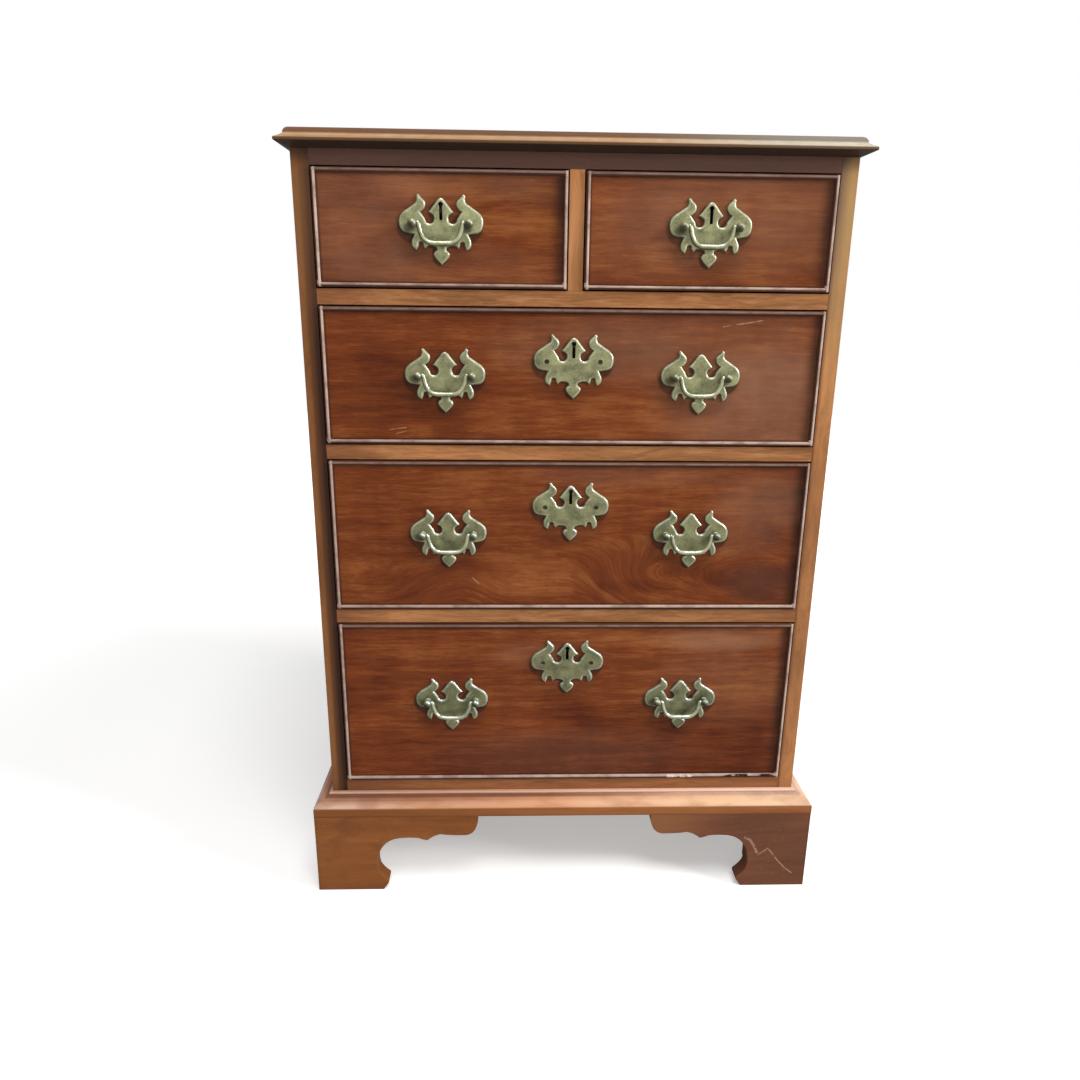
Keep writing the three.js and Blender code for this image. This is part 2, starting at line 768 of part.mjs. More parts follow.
// A round bar along the path: thin as a pin inside the balls, thickest in the middle of the grip
function bail(name, x, z) {
  const path = bailPath();
  const pinStart = postSpacing / 2 - ballRadius;
  const rings = path.map((point, index) => {
    const before = path[Math.max(index - 1, 0)];
    const after = path[Math.min(index + 1, path.length - 1)];
    const along = new THREE.Vector2().subVectors(after, before).normalize();
    const reach = Math.abs(point.x) / bailHalf;
    const grip = bailRadius + (bailMiddle - bailRadius) * Math.max(0, 1 - reach);
    const radius = Math.abs(point.x) > pinStart - bailRadius ? pinRadius : grip;
    return Array.from({ length: bailSides }, (_, side) => {
      const angle = (side / bailSides) * 2 * Math.PI;
      const inPlane = radius * Math.sin(angle);
      return new THREE.Vector3(
        x + point.x - along.y * inPlane,
        -ballStand + radius * Math.cos(angle),
        z + postRise + point.y + along.x * inPlane,
      );
    });
  });
  return piece(name, loft(rings), brass);
}

// Assembly

function drawerParts(row, name, centre, width) {
  const isSmall = row === topRow;
  const handleZ = row.height / 2 - row.handleDrop;
  const plateZ = row.height - row.keyplateDrop;
  const handles = isSmall
    ? [{ name: `${name}_handle`, x: 0, z: plateZ }]
    : [{ name: `${name}_left_handle`, x: -handleSpread / 2, z: handleZ },
      { name: `${name}_right_handle`, x: handleSpread / 2, z: handleZ }];
  const posts = handles.flatMap(({ x, z }) => (
    [-1, 1].map((hand) => [x + (hand * postSpacing) / 2, z + postRise])
  ));
  const drawer = { name, width, height: row.height, posts, keyZ: plateZ + keyholeRise };
  const group = new THREE.Group();
  group.position.set(centre, front, row.floor + drawerGap);
  group.add(drawerFront(drawer), drawerBox(drawer), drawerBottom(drawer), lockCase(drawer), lockBolt(drawer));
  for (const handle of handles) {
    group.add(handlePlate(`${handle.name}_plate`, handle.x, handle.z, isSmall));
    group.add(bail(`${handle.name}_bail`, handle.x, handle.z));
  }
  if (!isSmall) group.add(escutcheon(`${name}_escutcheon`, 0, plateZ));
  return group;
}

const chest = new THREE.Group();
chest.add(
  topBoard(),
  sideBoard('left_side', -1),
  sideBoard('right_side', 1),
  backPanel(),
  bottomBoard(),
  topRail(),
  rail('upper_rail', upperRow, topRow),
  rail('middle_rail', middleRow, upperRow),
  rail('lower_rail', lowerRow, middleRow),
  muntin(),
  drawerGuide(),
  baseFrame(),
  foot('front_left_foot', -1, false),
  foot('front_right_foot', 1, false),
  foot('rear_left_foot', -1, true),
  foot('rear_right_foot', 1, true),
  drawerParts(topRow, 'top_left', -smallCentre, smallWidth),
  drawerParts(topRow, 'top_right', smallCentre, smallWidth),
  drawerParts(upperRow, 'upper', 0, 2 * longHalf),
  drawerParts(middleRow, 'middle', 0, 2 * longHalf),
  drawerParts(lowerRow, 'lower', 0, 2 * longHalf),
);

export default chest;
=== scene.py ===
"""Dressing of a mahogany bachelors chest: mouldings, bracket feet, batwing brasses and old polish.

The chest stands on the floor with its front towards -Y. Lengths are metres, as in the frame, and the tables of
shapes and the finishes are in millimetres, which MM turns into metres.
"""

import math
from functools import reduce

import bmesh
import bpy
import numpy as np
from bpy.props import FloatProperty, FloatVectorProperty, IntProperty, PointerProperty
from mathutils import Matrix, Vector
from mathutils.geometry import tessellate_polygon


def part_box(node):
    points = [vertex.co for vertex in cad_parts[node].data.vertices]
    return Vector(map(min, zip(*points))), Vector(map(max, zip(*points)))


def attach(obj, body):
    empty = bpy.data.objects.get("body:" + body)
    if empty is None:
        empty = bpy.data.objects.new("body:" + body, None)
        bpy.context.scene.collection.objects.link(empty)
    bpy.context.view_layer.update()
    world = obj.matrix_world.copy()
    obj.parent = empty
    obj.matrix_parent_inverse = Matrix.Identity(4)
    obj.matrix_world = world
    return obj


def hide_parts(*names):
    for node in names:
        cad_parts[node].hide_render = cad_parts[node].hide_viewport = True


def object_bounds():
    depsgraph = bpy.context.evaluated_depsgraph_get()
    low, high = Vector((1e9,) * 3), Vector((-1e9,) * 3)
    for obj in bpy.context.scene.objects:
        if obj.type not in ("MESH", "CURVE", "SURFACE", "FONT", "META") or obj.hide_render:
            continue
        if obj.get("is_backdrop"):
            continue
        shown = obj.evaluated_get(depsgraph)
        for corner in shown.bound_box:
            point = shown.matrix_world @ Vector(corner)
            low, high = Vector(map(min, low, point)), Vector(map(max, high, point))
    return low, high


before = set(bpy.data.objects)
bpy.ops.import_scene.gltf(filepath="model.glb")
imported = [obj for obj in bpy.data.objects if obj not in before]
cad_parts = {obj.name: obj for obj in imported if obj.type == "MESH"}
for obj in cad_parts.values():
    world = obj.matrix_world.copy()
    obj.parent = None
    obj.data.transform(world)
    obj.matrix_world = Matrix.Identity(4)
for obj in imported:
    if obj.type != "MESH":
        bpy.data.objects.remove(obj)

bl_info = {
    "name": "Bachelors Chest Dressing",
    "version": (1, 0, 0),
    "blender": (4, 5, 0),
    "location": "3D View > Sidebar > Chest",
    "description": "Mouldings, bracket feet, batwing brasses and polish for a mahogany bachelors chest",
    "category": "Object",
}

MM = 0.001
LONG_DRAWERS = ("lower", "middle", "upper")
SMALL_DRAWERS = ("top_left", "top_right")
DRAWERS = LONG_DRAWERS + SMALL_DRAWERS

# The plate from its peak round to the tip of its drop, as shares of half its width and height. A row of two
# ends a straight, and a row of four is a curve's control point and its end.
PLATE_PEAK = (0, 0.899)
PLATE_SHARES = (
    (0.063, 0.892, 0.105, 0.807), (0.241, 0.584), (0.306, 0.493), (0.233, 0.436), (0.173, 0.412, 0.173, 0.318),
    (0.178, 0.182, 0.275, 0.179), (0.366, 0.189, 0.374, 0.311), (0.482, 0.497), (0.382, 0.561, 0.361, 0.676),
    (0.345, 0.79, 0.425, 0.872), (0.482, 0.94), (0.52, 1.04, 0.57, 0.975), (0.59, 0.93, 0.572, 0.87),
    (0.566, 0.81, 0.6, 0.752), (0.801, 0.581), (0.995, 0.453, 1, 0.23), (1, -0.088, 0.791, -0.105),
    (0.641, -0.132), (0.704, -0.304), (0.743, -0.527, 0.586, -0.584), (0.545, -0.446),
    (0.55, -0.348, 0.495, -0.348), (0.435, -0.351, 0.442, -0.439), (0.403, -0.541), (0.314, -0.457),
    (0.212, -0.461), (0.125, -0.5), (0.113, -0.574), (0.199, -0.622, 0.194, -0.716), (0.173, -0.818, 0, -1),
)

# The lower edge of a foot's bracket, as shares of its length past the pad and of its height, in curves
BRACKET_START = (1, 1)
BRACKET_SHARES = (
    (0.99, 0.745, 0.86, 0.741), (0.72, 0.738, 0.613, 0.757), (0.547, 0.751, 0.472, 0.677),
    (0.434, 0.68, 0.377, 0.708), (0.264, 0.722, 0.16, 0.704), (0.028, 0.672, -0.024, 0.529),
    (-0.075, 0.39, -0.042, 0.254), (-0.019, 0.196, 0.052, 0.127), (0.061, 0.095, 0.033, 0.058),
)

# Where old wax gathers round a plate and its shadow is painted: the middle of each lobe and its half width and
# height, in millimetres
PLATE_LOBES = ((-24, 4, 18, 17), (24, 4, 18, 17), (0, -2, 27, 15), (0, -19, 9.5, 12), (0, 16, 12, 13))

# The figure and the marks of each drawer front, in millimetres. Patches (lighter or darker), swirls (bent grain)
# and glares (pale haze of painted reflection) are soft ovals: a middle, a half width and height, and a strength.
# Chips and breaks in the bead are ovals without a strength. A fan bends the grain by its third number, more and more
# from its first place across to its second and from its first height down to its second. A scratch is a broken line,
# its width and its strength. Lean is how much lighter the right end is than the left.
DRAWER_LOOKS = {
    "top_left": {
        "lean": 0.08, "sheen": 0.3,
        "patches": ((-48, 700, 66, 16, 0.36), (-205, 722, 60, 30, -0.22), (-215, 700, 50, 12, 0.14),
                    (-200, 690, 80, 60, -0.16), (-24, 660, 60, 30, 0.06)),
        "glares": ((-110, 738, 100, 26, 0.14), (-30, 735, 60, 30, 0.08), (-200, 700, 100, 80, 0.18),
                   (-120, 660, 130, 30, 0.1))},
    "top_right": {
        "sheen": 0.3,
        "patches": ((90, 712, 70, 34, -0.12), (60, 662, 80, 16, 0.12), (100, 735, 150, 14, -0.1)),
        "glares": ((160, 715, 150, 80, 0.2), (60, 690, 90, 60, 0.1))},
    "upper": {
        "lean": 0.1, "sheen": 0.4,
        "patches": ((-170, 556, 110, 46, -0.12), (-190, 512, 70, 22, 0.1), (40, 524, 160, 26, 0.12),
                    (-50, 568, 60, 26, 0.14), (100, 612, 190, 12, -0.14)),
        "glares": ((150, 590, 180, 60, 0.16), (180, 535, 120, 70, 0.3), (10, 590, 120, 40, 0.14)),
        "scratches": ((((141, 611), (160, 614), (178, 617)), 0.7, 0.5), (((-176, 512), (-160, 514)), 0.7, 0.35),
                      (((-170, 508), (-158, 511)), 0.6, 0.3))},
    "middle": {
        "lean": 0.02, "sheen": 0.5, "sway": 5, "bands": 10,
        "fans": ((-5, 100, 48, 418, 362), (-110, -190, 26, 395, 345), (-110, -60, 16, 385, 345)),
        "swirls": ((200, 352, 90, 64, 10),),
        "patches": ((186, 357, 56, 24, -0.34), (212, 350, 42, 30, -0.28), (162, 362, 28, 12, -0.2),
                    (216, 432, 44, 56, -0.3), (150, 383, 34, 14, 0.2), (-140, 350, 60, 26, -0.2),
                    (-180, 405, 110, 40, -0.16), (66, 352, 50, 10, -0.16), (100, 396, 60, 16, 0.14),
                    (-30, 358, 70, 24, 0.14), (90, 448, 90, 28, 0.14)),
        "glares": ((196, 440, 70, 40, 0.2), (60, 470, 130, 20, 0.14), (170, 400, 60, 20, 0.12),
                   (196, 357, 54, 30, 0.08)),
        "scratches": ((((-99, 362), (-92, 355)), 0.8, 0.35),)},
    "lower": {
        "lean": 0.04, "sheen": 0.35, "bands": 9,
        "patches": ((0, 140, 420, 92, -0.34), (-230, 260, 70, 70, -0.16), (-40, 152, 50, 22, -0.14),
                    (130, 292, 110, 10, 0.26), (-130, 275, 90, 26, 0.14), (0, 212, 40, 20, -0.12),
                    (40, 215, 60, 30, -0.1), (200, 190, 50, 60, -0.12)),
        "glares": ((160, 292, 90, 16, 0.3), (-40, 275, 50, 20, 0.14), (170, 240, 100, 60, 0.1),
                   (0, 160, 180, 40, 0.08)),
        "chips": ((118, 131.6, 7, 2.6), (129, 131.2, 7, 2.2), (138, 131.8, 4, 2)),
        "breaks": ((205, 131, 34, 5),)},
}

# The scratch and the rub on the right front foot, across and up, in millimetres
FOOT_SCRATCH = ((212, 52), (217, 40), (228, 49), (240, 33), (250, 22), (258, 16))
FOOT_RUB = ((201, 63), (207, 60), (212, 52), (216, 43))

# Colours laid over the woods and metals, by where they show. Some are painted shade, shadow, highlight or reflection,
# as said where they are laid.
TINTS = {
    "scratch": (0.55, 0.36, 0.22), "old hole": (0.20, 0.195, 0.145), "keyhole": (0.003, 0.002, 0.002),
    "glare": (0.31, 0.17, 0.105), "bead": (0.062, 0.026, 0.018), "chip": (0.66, 0.58, 0.50),
    "brass dirt": (0.020, 0.019, 0.011), "silvery": (0.50, 0.60, 0.57), "rust": (0.13, 0.045, 0.018),
    "top round": (0.145, 0.086, 0.052), "top grey": (0.235, 0.225, 0.185), "nose shade": (0.105, 0.060, 0.030),
    "nose pale": (0.50, 0.32, 0.18), "nose grey": (0.56, 0.53, 0.43), "under nose": (0.034, 0.021, 0.015),
    "base shade": (0.30, 0.125, 0.060), "base stain": (0.22, 0.085, 0.04), "base streak": (0.72, 0.45, 0.22),
    "quirk": (0.15, 0.058, 0.032), "fascia": (0.165, 0.053, 0.013), "base foot": (0.07, 0.028, 0.012),
    "left stile": (0.112, 0.038, 0.009), "left stile joint": (0.050, 0.020, 0.012),
    "left stile top": (0.22, 0.10, 0.040), "right stile top": (0.40, 0.25, 0.105),
    "right stile joint": (0.13, 0.045, 0.018), "right stile grey": (0.14, 0.09, 0.06),
    "rail mottle": (0.20, 0.07, 0.024), "rail bleach": (0.46, 0.22, 0.10), "lowest rail": (0.19, 0.06, 0.024),
    "rail dull": (0.14, 0.045, 0.02), "under bead": (0.035, 0.013, 0.006), "top rail": (0.078, 0.044, 0.034),
    "muntin light": (0.5, 0.25, 0.1), "foot grubby": (0.09, 0.032, 0.015), "foot rub": (0.33, 0.16, 0.08),
    "foot corner": (0.06, 0.022, 0.008), "foot scratch": (0.36, 0.21, 0.15), "foot gold": (0.24, 0.10, 0.038),
}

# The base frame's dark, body and light wood, its faded round with a painted highlight from left to right and the
# painted highlight of its bead from left to right, and the body and light wood of the feet
BASE_TONES = ((0.15, 0.045, 0.014), (0.265, 0.095, 0.028), (0.36, 0.15, 0.05))
BASE_FADE_AND_HIGHLIGHT = ((0.56, 0.38, 0.30), (0.52, 0.27, 0.17), (0.56, 0.27, 0.14), (0.68, 0.42, 0.27), (0.70, 0.49, 0.37))
BASE_BEAD = ((0.46, 0.31, 0.24), (0.54, 0.33, 0.24), (0.78, 0.55, 0.46))
REAR_FOOT = ((0.135, 0.048, 0.021), (0.22, 0.09, 0.04))
FRONT_FEET = {
    "front_right_foot": ((0.135, 0.048, 0.024), (0.20, 0.078, 0.038)),
    "front_left_foot": ((0.205, 0.066, 0.016), (0.28, 0.105, 0.028)),
}

# Places read from the frame
SIDE_LOW, SIDE_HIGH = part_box("right_side")
CARCASE_HALF = SIDE_HIGH.x
FACE = SIDE_LOW.y
BACK = SIDE_HIGH.y
TOP_LOW, TOP_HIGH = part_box("top_board")
BASE_LOW, BASE_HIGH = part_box("base_frame")


# Settings

def length(name, description, default, least, most):
    """A length that a user may change, written here in millimetres."""
    return FloatProperty(name=name, description=description, default=default * MM, min=least * MM,
                         max=most * MM, unit="LENGTH")


def tint(name, description, default):
    """A colour that a user may change."""
    return FloatVectorProperty(name=name, description=description, default=default, min=0, max=1, subtype="COLOR")


def power(name, description, default, most):
    """The power of a light that a user may change."""
    return FloatProperty(name=name, description=description, default=default, min=0, max=most, unit="POWER")


class ChestMouldings(bpy.types.PropertyGroup):
    """Sizes of the moulded edges and the feet."""

    nose_height: length("Nose height", "Height of the thin nose on the top board", 2.8, 1, 20)
    nose_rise: length("Nose rise", "Height of the undercut below the nose", 4, 1, 20)
    shoulder_rise: length("Shoulder rise", "Height of the hollow shoulder over the nose", 4.1, 1, 20)
    round_reach: length("Round reach", "How far the round over the shoulder stands out from the carcase", 4.3, 0, 20)
    fascia_height: length("Fascia height", "Height of the plain face on the base frame", 9.6, 1, 20)
    bead_height: length("Base bead height", "Height of the small bead where the carcase meets the base", 3, 1, 10)
    bead_reach: length("Base bead reach", "How far that bead stands out from the carcase", 3.6, 1, 10)
    bracket_thickness: length("Bracket thickness", "Thickness of the boards of the feet", 17, 8, 30)
    foot_pad: length("Foot pad", "Length of a bracket where it meets the floor", 72, 30, 100)
    arris: length("Arris", "Wear on the sharp edges of the woodwork", 0.5, 0, 2)


class ChestBrasses(bpy.types.PropertyGroup):
    """Sizes of the handles and keyhole plates."""

    plate_thickness: length("Plate thickness", "Thickness of the pierced plates", 2, 0.5, 4)
    plate_bevel: length("Plate bevel", "Width of the bevel round each plate", 2, 0.2, 3)
    post_spacing: length("Post spacing", "Distance between the two posts of a handle", 50.8, 30, 100)
    post_rise: length("Post rise", "Height of the posts above the middle of the plate", 5, 0, 20)
    ball_radius: length("Ball radius", "Radius of the balls that hold the bail", 4.1, 2, 6)
    ball_stand: length("Ball stand", "How far the middle of a ball stands off the drawer", 8.6, 5, 20)
    bail_radius: length("Bail radius", "Radius of the bail at its necks", 2.15, 1, 4)
    bail_middle: length("Bail middle", "Radius of the bail in the middle of the grip", 2.45, 1, 5)
    bail_drop: length("Bail drop", "How far the grip hangs under the posts", 17, 10, 30)
    turned_sides: IntProperty(
        name="Turned sides", description="Steps round the turned posts and the bails", default=20, min=8, max=48)


class ChestFinishes(bpy.types.PropertyGroup):
    """Colours of the woods and metals."""

    mahogany_dark: tint("Mahogany, dark", "Darkest lines of the polished drawer fronts", (0.066, 0.012, 0.003))
    mahogany: tint("Mahogany", "Body colour of the polished drawer fronts", (0.146, 0.034, 0.0075))
    mahogany_light: tint("Mahogany, light", "Lightest figure of the polished drawer fronts", (0.262, 0.086, 0.024))
    stile_gold: tint("Faded edge", "Faded golden colour of the front edges of the carcase", (0.330, 0.140, 0.052))
    # This colour is rubbed wear on the beads and also their painted highlight.
    bead_wear_and_highlight: tint("Bead wear", "Pale rubbed colour on the beads round the drawers", (0.480, 0.360, 0.300))
    # This colour is old wax, dust and soil, and is also laid as painted shade and painted shadow beside the beads,
    # round the plates and under the top.
    grime_and_shade: tint("Grime", "Old wax and dirt in the corners", (0.020, 0.008, 0.005))
    brass_patina: tint("Brass patina", "Olive colour of the dulled brass", (0.215, 0.215, 0.108))
    # This colour is also the painted highlight on rims that face up and to the right.
    brass_rubbed: tint("Brass, rubbed", "Pale colour of brass where it is handled", (0.560, 0.575, 0.440))
    oak: tint("Oak", "Colour of the drawer linings", (0.330, 0.215, 0.105))
    pine: tint("Pine", "Colour of the back boards and guides", (0.330, 0.180, 0.078))
    iron: tint("Lock iron", "Colour of the lock cases and bolts", (0.120, 0.100, 0.080))


class ChestStudio(bpy.types.PropertyGroup):
    """The plain studio round the chest."""

    key_power: power("Key light", "Power of the window-like light on the right", 210, 1000)
    top_power: power("Top light", "Power of the broad light overhead", 168, 1000)
    fill_power: power("Fill light", "Power of the broad weak light in front", 7, 500)
    room_light: FloatProperty(
        name="Room light", description="Strength of the even light from all round", default=0.2, min=0, max=2)
    floor_shade: FloatProperty(
        name="Floor shade", description="How pale the floor is", default=0.8, min=0, max=1, subtype="FACTOR")


# Surfaces. Each is a pair: an array of points and a list of faces that counts them from 0.

def gridded(points, capped=False, joined=False):
    """Quads between neighbouring rings of a grid of points with one ring to a row. Capped closes both end rings
    with a face, and joined carries on from the last ring to the first."""
    rings, corners = points.shape[:2]
    index = np.arange(rings * corners).reshape(rings, corners)
    around = np.concatenate([index, index[:1]]) if joined else index
    around = np.concatenate([around, around[:, :1]], axis=1)
    quads = (around[:-1, :-1], around[:-1, 1:], around[1:, 1:], around[1:, :-1])
    faces = np.stack(quads, axis=-1).reshape(-1, 4).tolist()
    if capped:
        faces += [index[0, ::-1].tolist(), index[-1].tolist()]
    return points.reshape(-1, 3), faces


def box_shell(low, high):
    """A box between two corners: a square ring at the bottom and the same ring at the top, both closed."""
    (x0, y0, z0), (x1, y1, z1) = low, high
    ring = np.array([(x0, y0), (x1, y0), (x1, y1), (x0, y1)])
    return gridded(np.stack([np.column_stack([ring, np.full(4, height)]) for height in (z0, z1)]), capped=True)


def circle(count):
    """The cosine and the sine of evenly spaced angles once round."""
    angle = np.linspace(0, 2 * math.pi, count, endpoint=False)
    return np.cos(angle), np.sin(angle)


def stood_up(line, spot, depth=0.0):
    """The points of a flat line, across and up, stood up at a spot with depth in front of it."""
    return np.column_stack([spot[0] + line[:, 0], np.full(len(line), spot[1] - depth), spot[2] + line[:, 1]])


def bowed(start, control, end, share):
    """A curve's points: its start, control and end weighted by the square, twice the product and the square of
    how far along it they are."""
    return (1 - share) ** 2 * start + 2 * share * (1 - share) * control + share ** 2 * end


def traced(start, rows, steps):
    """A line through rows of shares: a straight to each row of two, and a bowed curve of steps points along
    each row of four."""
    share = np.linspace(0, 1, steps + 1)[1:, None]
    pieces = [np.array([start], float)]
    for row in rows:
        end = np.array(row[-2:], float)
        pieces.append(end[None] if len(row) == 2 else bowed(pieces[-1][-1], np.array(row[:2], float), end, share))
    return np.concatenate(pieces)


def eased(corners, ease, steps=4):
    """A line of corners whose inner corners become bowed curves, each as long as ease on both legs or half of
    the shorter leg, with the corner as its control point."""
    corners = np.asarray(corners, float)
    middle = corners[1:-1]
    back, fore = corners[:-2] - middle, corners[2:] - middle
    back_length = np.linalg.norm(back, axis=1, keepdims=True)
    fore_length = np.linalg.norm(fore, axis=1, keepdims=True)
    reach = np.minimum(ease, np.minimum(back_length, fore_length) / 2)
    curves = bowed(middle + back / back_length * reach, middle, middle + fore / fore_length * reach,
                   np.linspace(0, 1, steps + 1)[:, None, None])
    return np.concatenate([corners[:1], curves.transpose(1, 0, 2).reshape(-1, 2), corners[-1:]])


def carried_round(profile, tuck=0.0):
    """A moulding carried round the chest. Each profile row is how far it reaches out from the carcase and its
    height, and tuck is how far its back edge is held in from the back. At the two front corners the reach goes
    sideways and forwards alike, which makes the mitre, and at the two back corners only sideways."""
    reach, height = profile.T
    out, back = CARCASE_HALF + reach, BACK - tuck + 0 * reach
    corners = ((-out, FACE - reach), (out, FACE - reach), (out, back), (-out, back))
    return np.stack([np.column_stack([*corner, height]) for corner in corners], axis=1)


def turned(profile, middle, sides):
    """A shape turned on a lathe that points out of the drawer. Profile rows are a radius and a distance along
    Y, and each row becomes a ring: its middle plus the radius times the cosine and sine of the angle."""
    radius, along = np.asarray(profile, float).T[..., None]
    across, up = circle(sides)
    x = middle[0] + radius * across
    points = np.stack([x, np.broadcast_to(middle[1] + along, x.shape), middle[2] + radius * up], axis=-1)
    return gridded(points)


def rod(path, radii, sides):
    """A round rod carried along a path in a plane that faces Y. Each ring is the path's point plus its radius
    times the cosine of the angle along Y and the sine of the angle square to the path."""
    along = np.gradient(path, axis=0)
    along /= np.linalg.norm(along, axis=1, keepdims=True)
    across = np.cross(along, (0, 1, 0))[:, None]
    out, side = (part[None, :, None] for part in circle(sides))
    return gridded(path[:, None] + radii[:, None, None] * (out * np.array((0, 1, 0)) + side * across), capped=True)


def inset(outline, distance):
    """A closed outline moved inwards: each point goes along the sum of the normals of its two edges, far
    enough to keep both edges at that distance, and never more than twice it at a sharp point."""
    edge = np.roll(outline, -1, axis=0) - outline
    edge /= np.linalg.norm(edge, axis=1, keepdims=True)
    normal = np.column_stack([-edge[:, 1], edge[:, 0]])
    total = normal + np.roll(normal, 1, axis=0)
    total /= np.linalg.norm(total, axis=1, keepdims=True)
    stretch = np.clip((total * normal).sum(axis=1), 0.5, None)
    return outline + total * (distance / stretch)[:, None]


def gather(shells):
    """Several surfaces as one: the points one after another, and the faces counted on from those before."""
    points = np.concatenate([shell[0] for shell in shells])
    starts = np.cumsum([0] + [len(shell[0]) for shell in shells[:-1]])
    faces = [[int(start) + corner for corner in face] for start, shell in zip(starts, shells) for face in shell[1]]
    return points, faces


# Pieces

def settle(mesh, keep_faces=False):
    """Merges doubled points, turns the faces outwards and shades smoothly up to a sharp angle."""
    shape = bmesh.new()
    shape.from_mesh(mesh)
    bmesh.ops.remove_doubles(shape, verts=shape.verts, dist=2e-6)
    if keep_faces:
        bmesh.ops.dissolve_limit(shape, angle_limit=math.radians(0.2), verts=shape.verts, edges=shape.edges,
                                 delimit={"NORMAL"})
    else:
        bmesh.ops.recalc_face_normals(shape, faces=shape.faces)
    shape.to_mesh(mesh)
    shape.free()
    mesh.shade_smooth()
    mesh.set_sharp_from_angle(angle=math.radians(40))


def add_arris(piece, width, angle=50):
    """Rounds the sharp edges of a piece a little, as wear does."""
    bevel = piece.modifiers.new("Arris", "BEVEL")
    bevel.width = width
    bevel.segments = 2
    bevel.limit_method = "ANGLE"
    bevel.angle_limit = math.radians(angle)
    bevel.harden_normals = True


def write_shares(mesh, name, shares):
    """Writes an attribute of a mesh: a share for each face."""
    layer = mesh.attributes.get(name) or mesh.attributes.new(name, "FLOAT", "FACE")
    layer.data.foreach_set("value", np.asarray(shares, np.float32))


def shade_rims_by_facing(mesh):
    """Lights the rims by their facing: their share in the rim attribute, which is their wear, is multiplied by the
    normal's product with a direction up and to the right, so that it becomes a painted highlight. The dirt_and_shade
    attribute takes the same share where they face down and to the left, as painted shade."""
    normals, share = np.empty(len(mesh.polygons) * 3, np.float32), np.empty(len(mesh.polygons), np.float32)
    mesh.polygons.foreach_get("normal", normals)
    facing = normals.reshape(-1, 3) @ np.array((0.64, -0.24, 0.73))
    mesh.attributes["rim"].data.foreach_get("value", share)
    write_shares(mesh, "rim", share * np.clip(0.1 + 1.1 * facing, 0, 1))
    write_shares(mesh, "dirt_and_shade", share * np.clip(-facing * 1.5, 0, 1))


def place_piece(name, mesh, body, finish, node):
    """Puts a piece in the scene, on its body and in place of the node that it stands for."""
    piece = bpy.data.objects.new(name, mesh)
    bpy.context.scene.collection.objects.link(piece)
    mesh.materials.clear()
    mesh.materials.append(finish)
    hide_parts(node)
    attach(piece, body)
    return piece


def new_piece(name, shells, body, finish, node, rims=None):
    """A piece made from one or more surfaces. Rims are the share of wear of each face, which is then lit and shaded
    by facing as painted highlight and shade.
    """
    points, faces = gather(shells)
    mesh = bpy.data.meshes.new(name)
    mesh.from_pydata(points.tolist(), [], faces)
    if rims is not None:
        write_shares(mesh, "rim", rims)
    settle(mesh)
    if rims is not None:
        shade_rims_by_facing(mesh)
    return place_piece(name, mesh, body, finish, node)


def merged_copy(name, node, body, finish, arris):
    """A copy of one of the chest's own boards with its points merged and its edges a little worn."""
    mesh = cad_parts[node].data.copy()
    mesh.name = name
    settle(mesh, keep_faces=True)
    add_arris(place_piece(name, mesh, body, finish, node), arris)


# Finishes

def calculation(operation, swapped=False):
    """A method of a reading that adds one Math node, with its two numbers swapped where that is said."""
    def method(self, other=0.0):
        return self.nodes.math(operation, *((other, self) if swapped else (self, other)))
    return method


class Reading:
    """A number that nodes work out. Arithmetic on readings adds Math nodes beside them."""

    __add__, __radd__ = calculation("ADD"), calculation("ADD", True)
    __sub__, __rsub__ = calculation("SUBTRACT"), calculation("SUBTRACT", True)
    __mul__ = calculation("MULTIPLY")
    size, least, most = calculation("ABSOLUTE"), calculation("MINIMUM"), calculation("MAXIMUM")

    def __init__(self, nodes, socket):
        self.nodes, self.socket = nodes, socket

    def rise(self, low, high):
        """Smoothly from 0 where the reading is at low to 1 where it is at high, which may be the lower."""
        node = self.nodes.add("ShaderNodeMapRange")
        node.interpolation_type = "SMOOTHSTEP"
        self.nodes.feed(node.inputs["Value"], self)
        self.nodes.write(node, {"From Min": low, "From Max": high})
        return Reading(self.nodes, node.outputs["Result"])


class Nodes:
    """The nodes of a finish or of the room."""

    def __init__(self, tree):
        self.tree = tree

    def add(self, kind):
        """A new node of a kind."""
        return self.tree.nodes.new(kind)

    def write(self, node, values):
        """Sets a node's inputs by name."""
        for name, value in values.items():
            node.inputs[name].default_value = value

    def feed(self, place, value):
        """A reading or a socket is linked to an input, and a number or a colour, which may be the name of a tint,
        is written on it."""
        if isinstance(value, (Reading, bpy.types.NodeSocket)):
            self.tree.links.new(getattr(value, "socket", value), place)
        elif isinstance(place, bpy.types.NodeSocketColor):
            colour = TINTS[value] if isinstance(value, str) else value
            place.default_value = (*colour[:3], 1)
        else:
            place.default_value = value

    def math(self, operation, first, second=0.0):
        """One Math node."""
        node = self.add("ShaderNodeMath")
        node.operation = operation
        self.feed(node.inputs[0], first)
        self.feed(node.inputs[1], second)
        return Reading(self, node.outputs[0])

    def rays(self, *kinds):
        """1 for the kinds of light rays that are named, and 0 for the rest."""
        path = self.add("ShaderNodeLightPath")
        return reduce(Reading.most, [Reading(self, path.outputs[f"Is {kind} Ray"]) for kind in kinds])


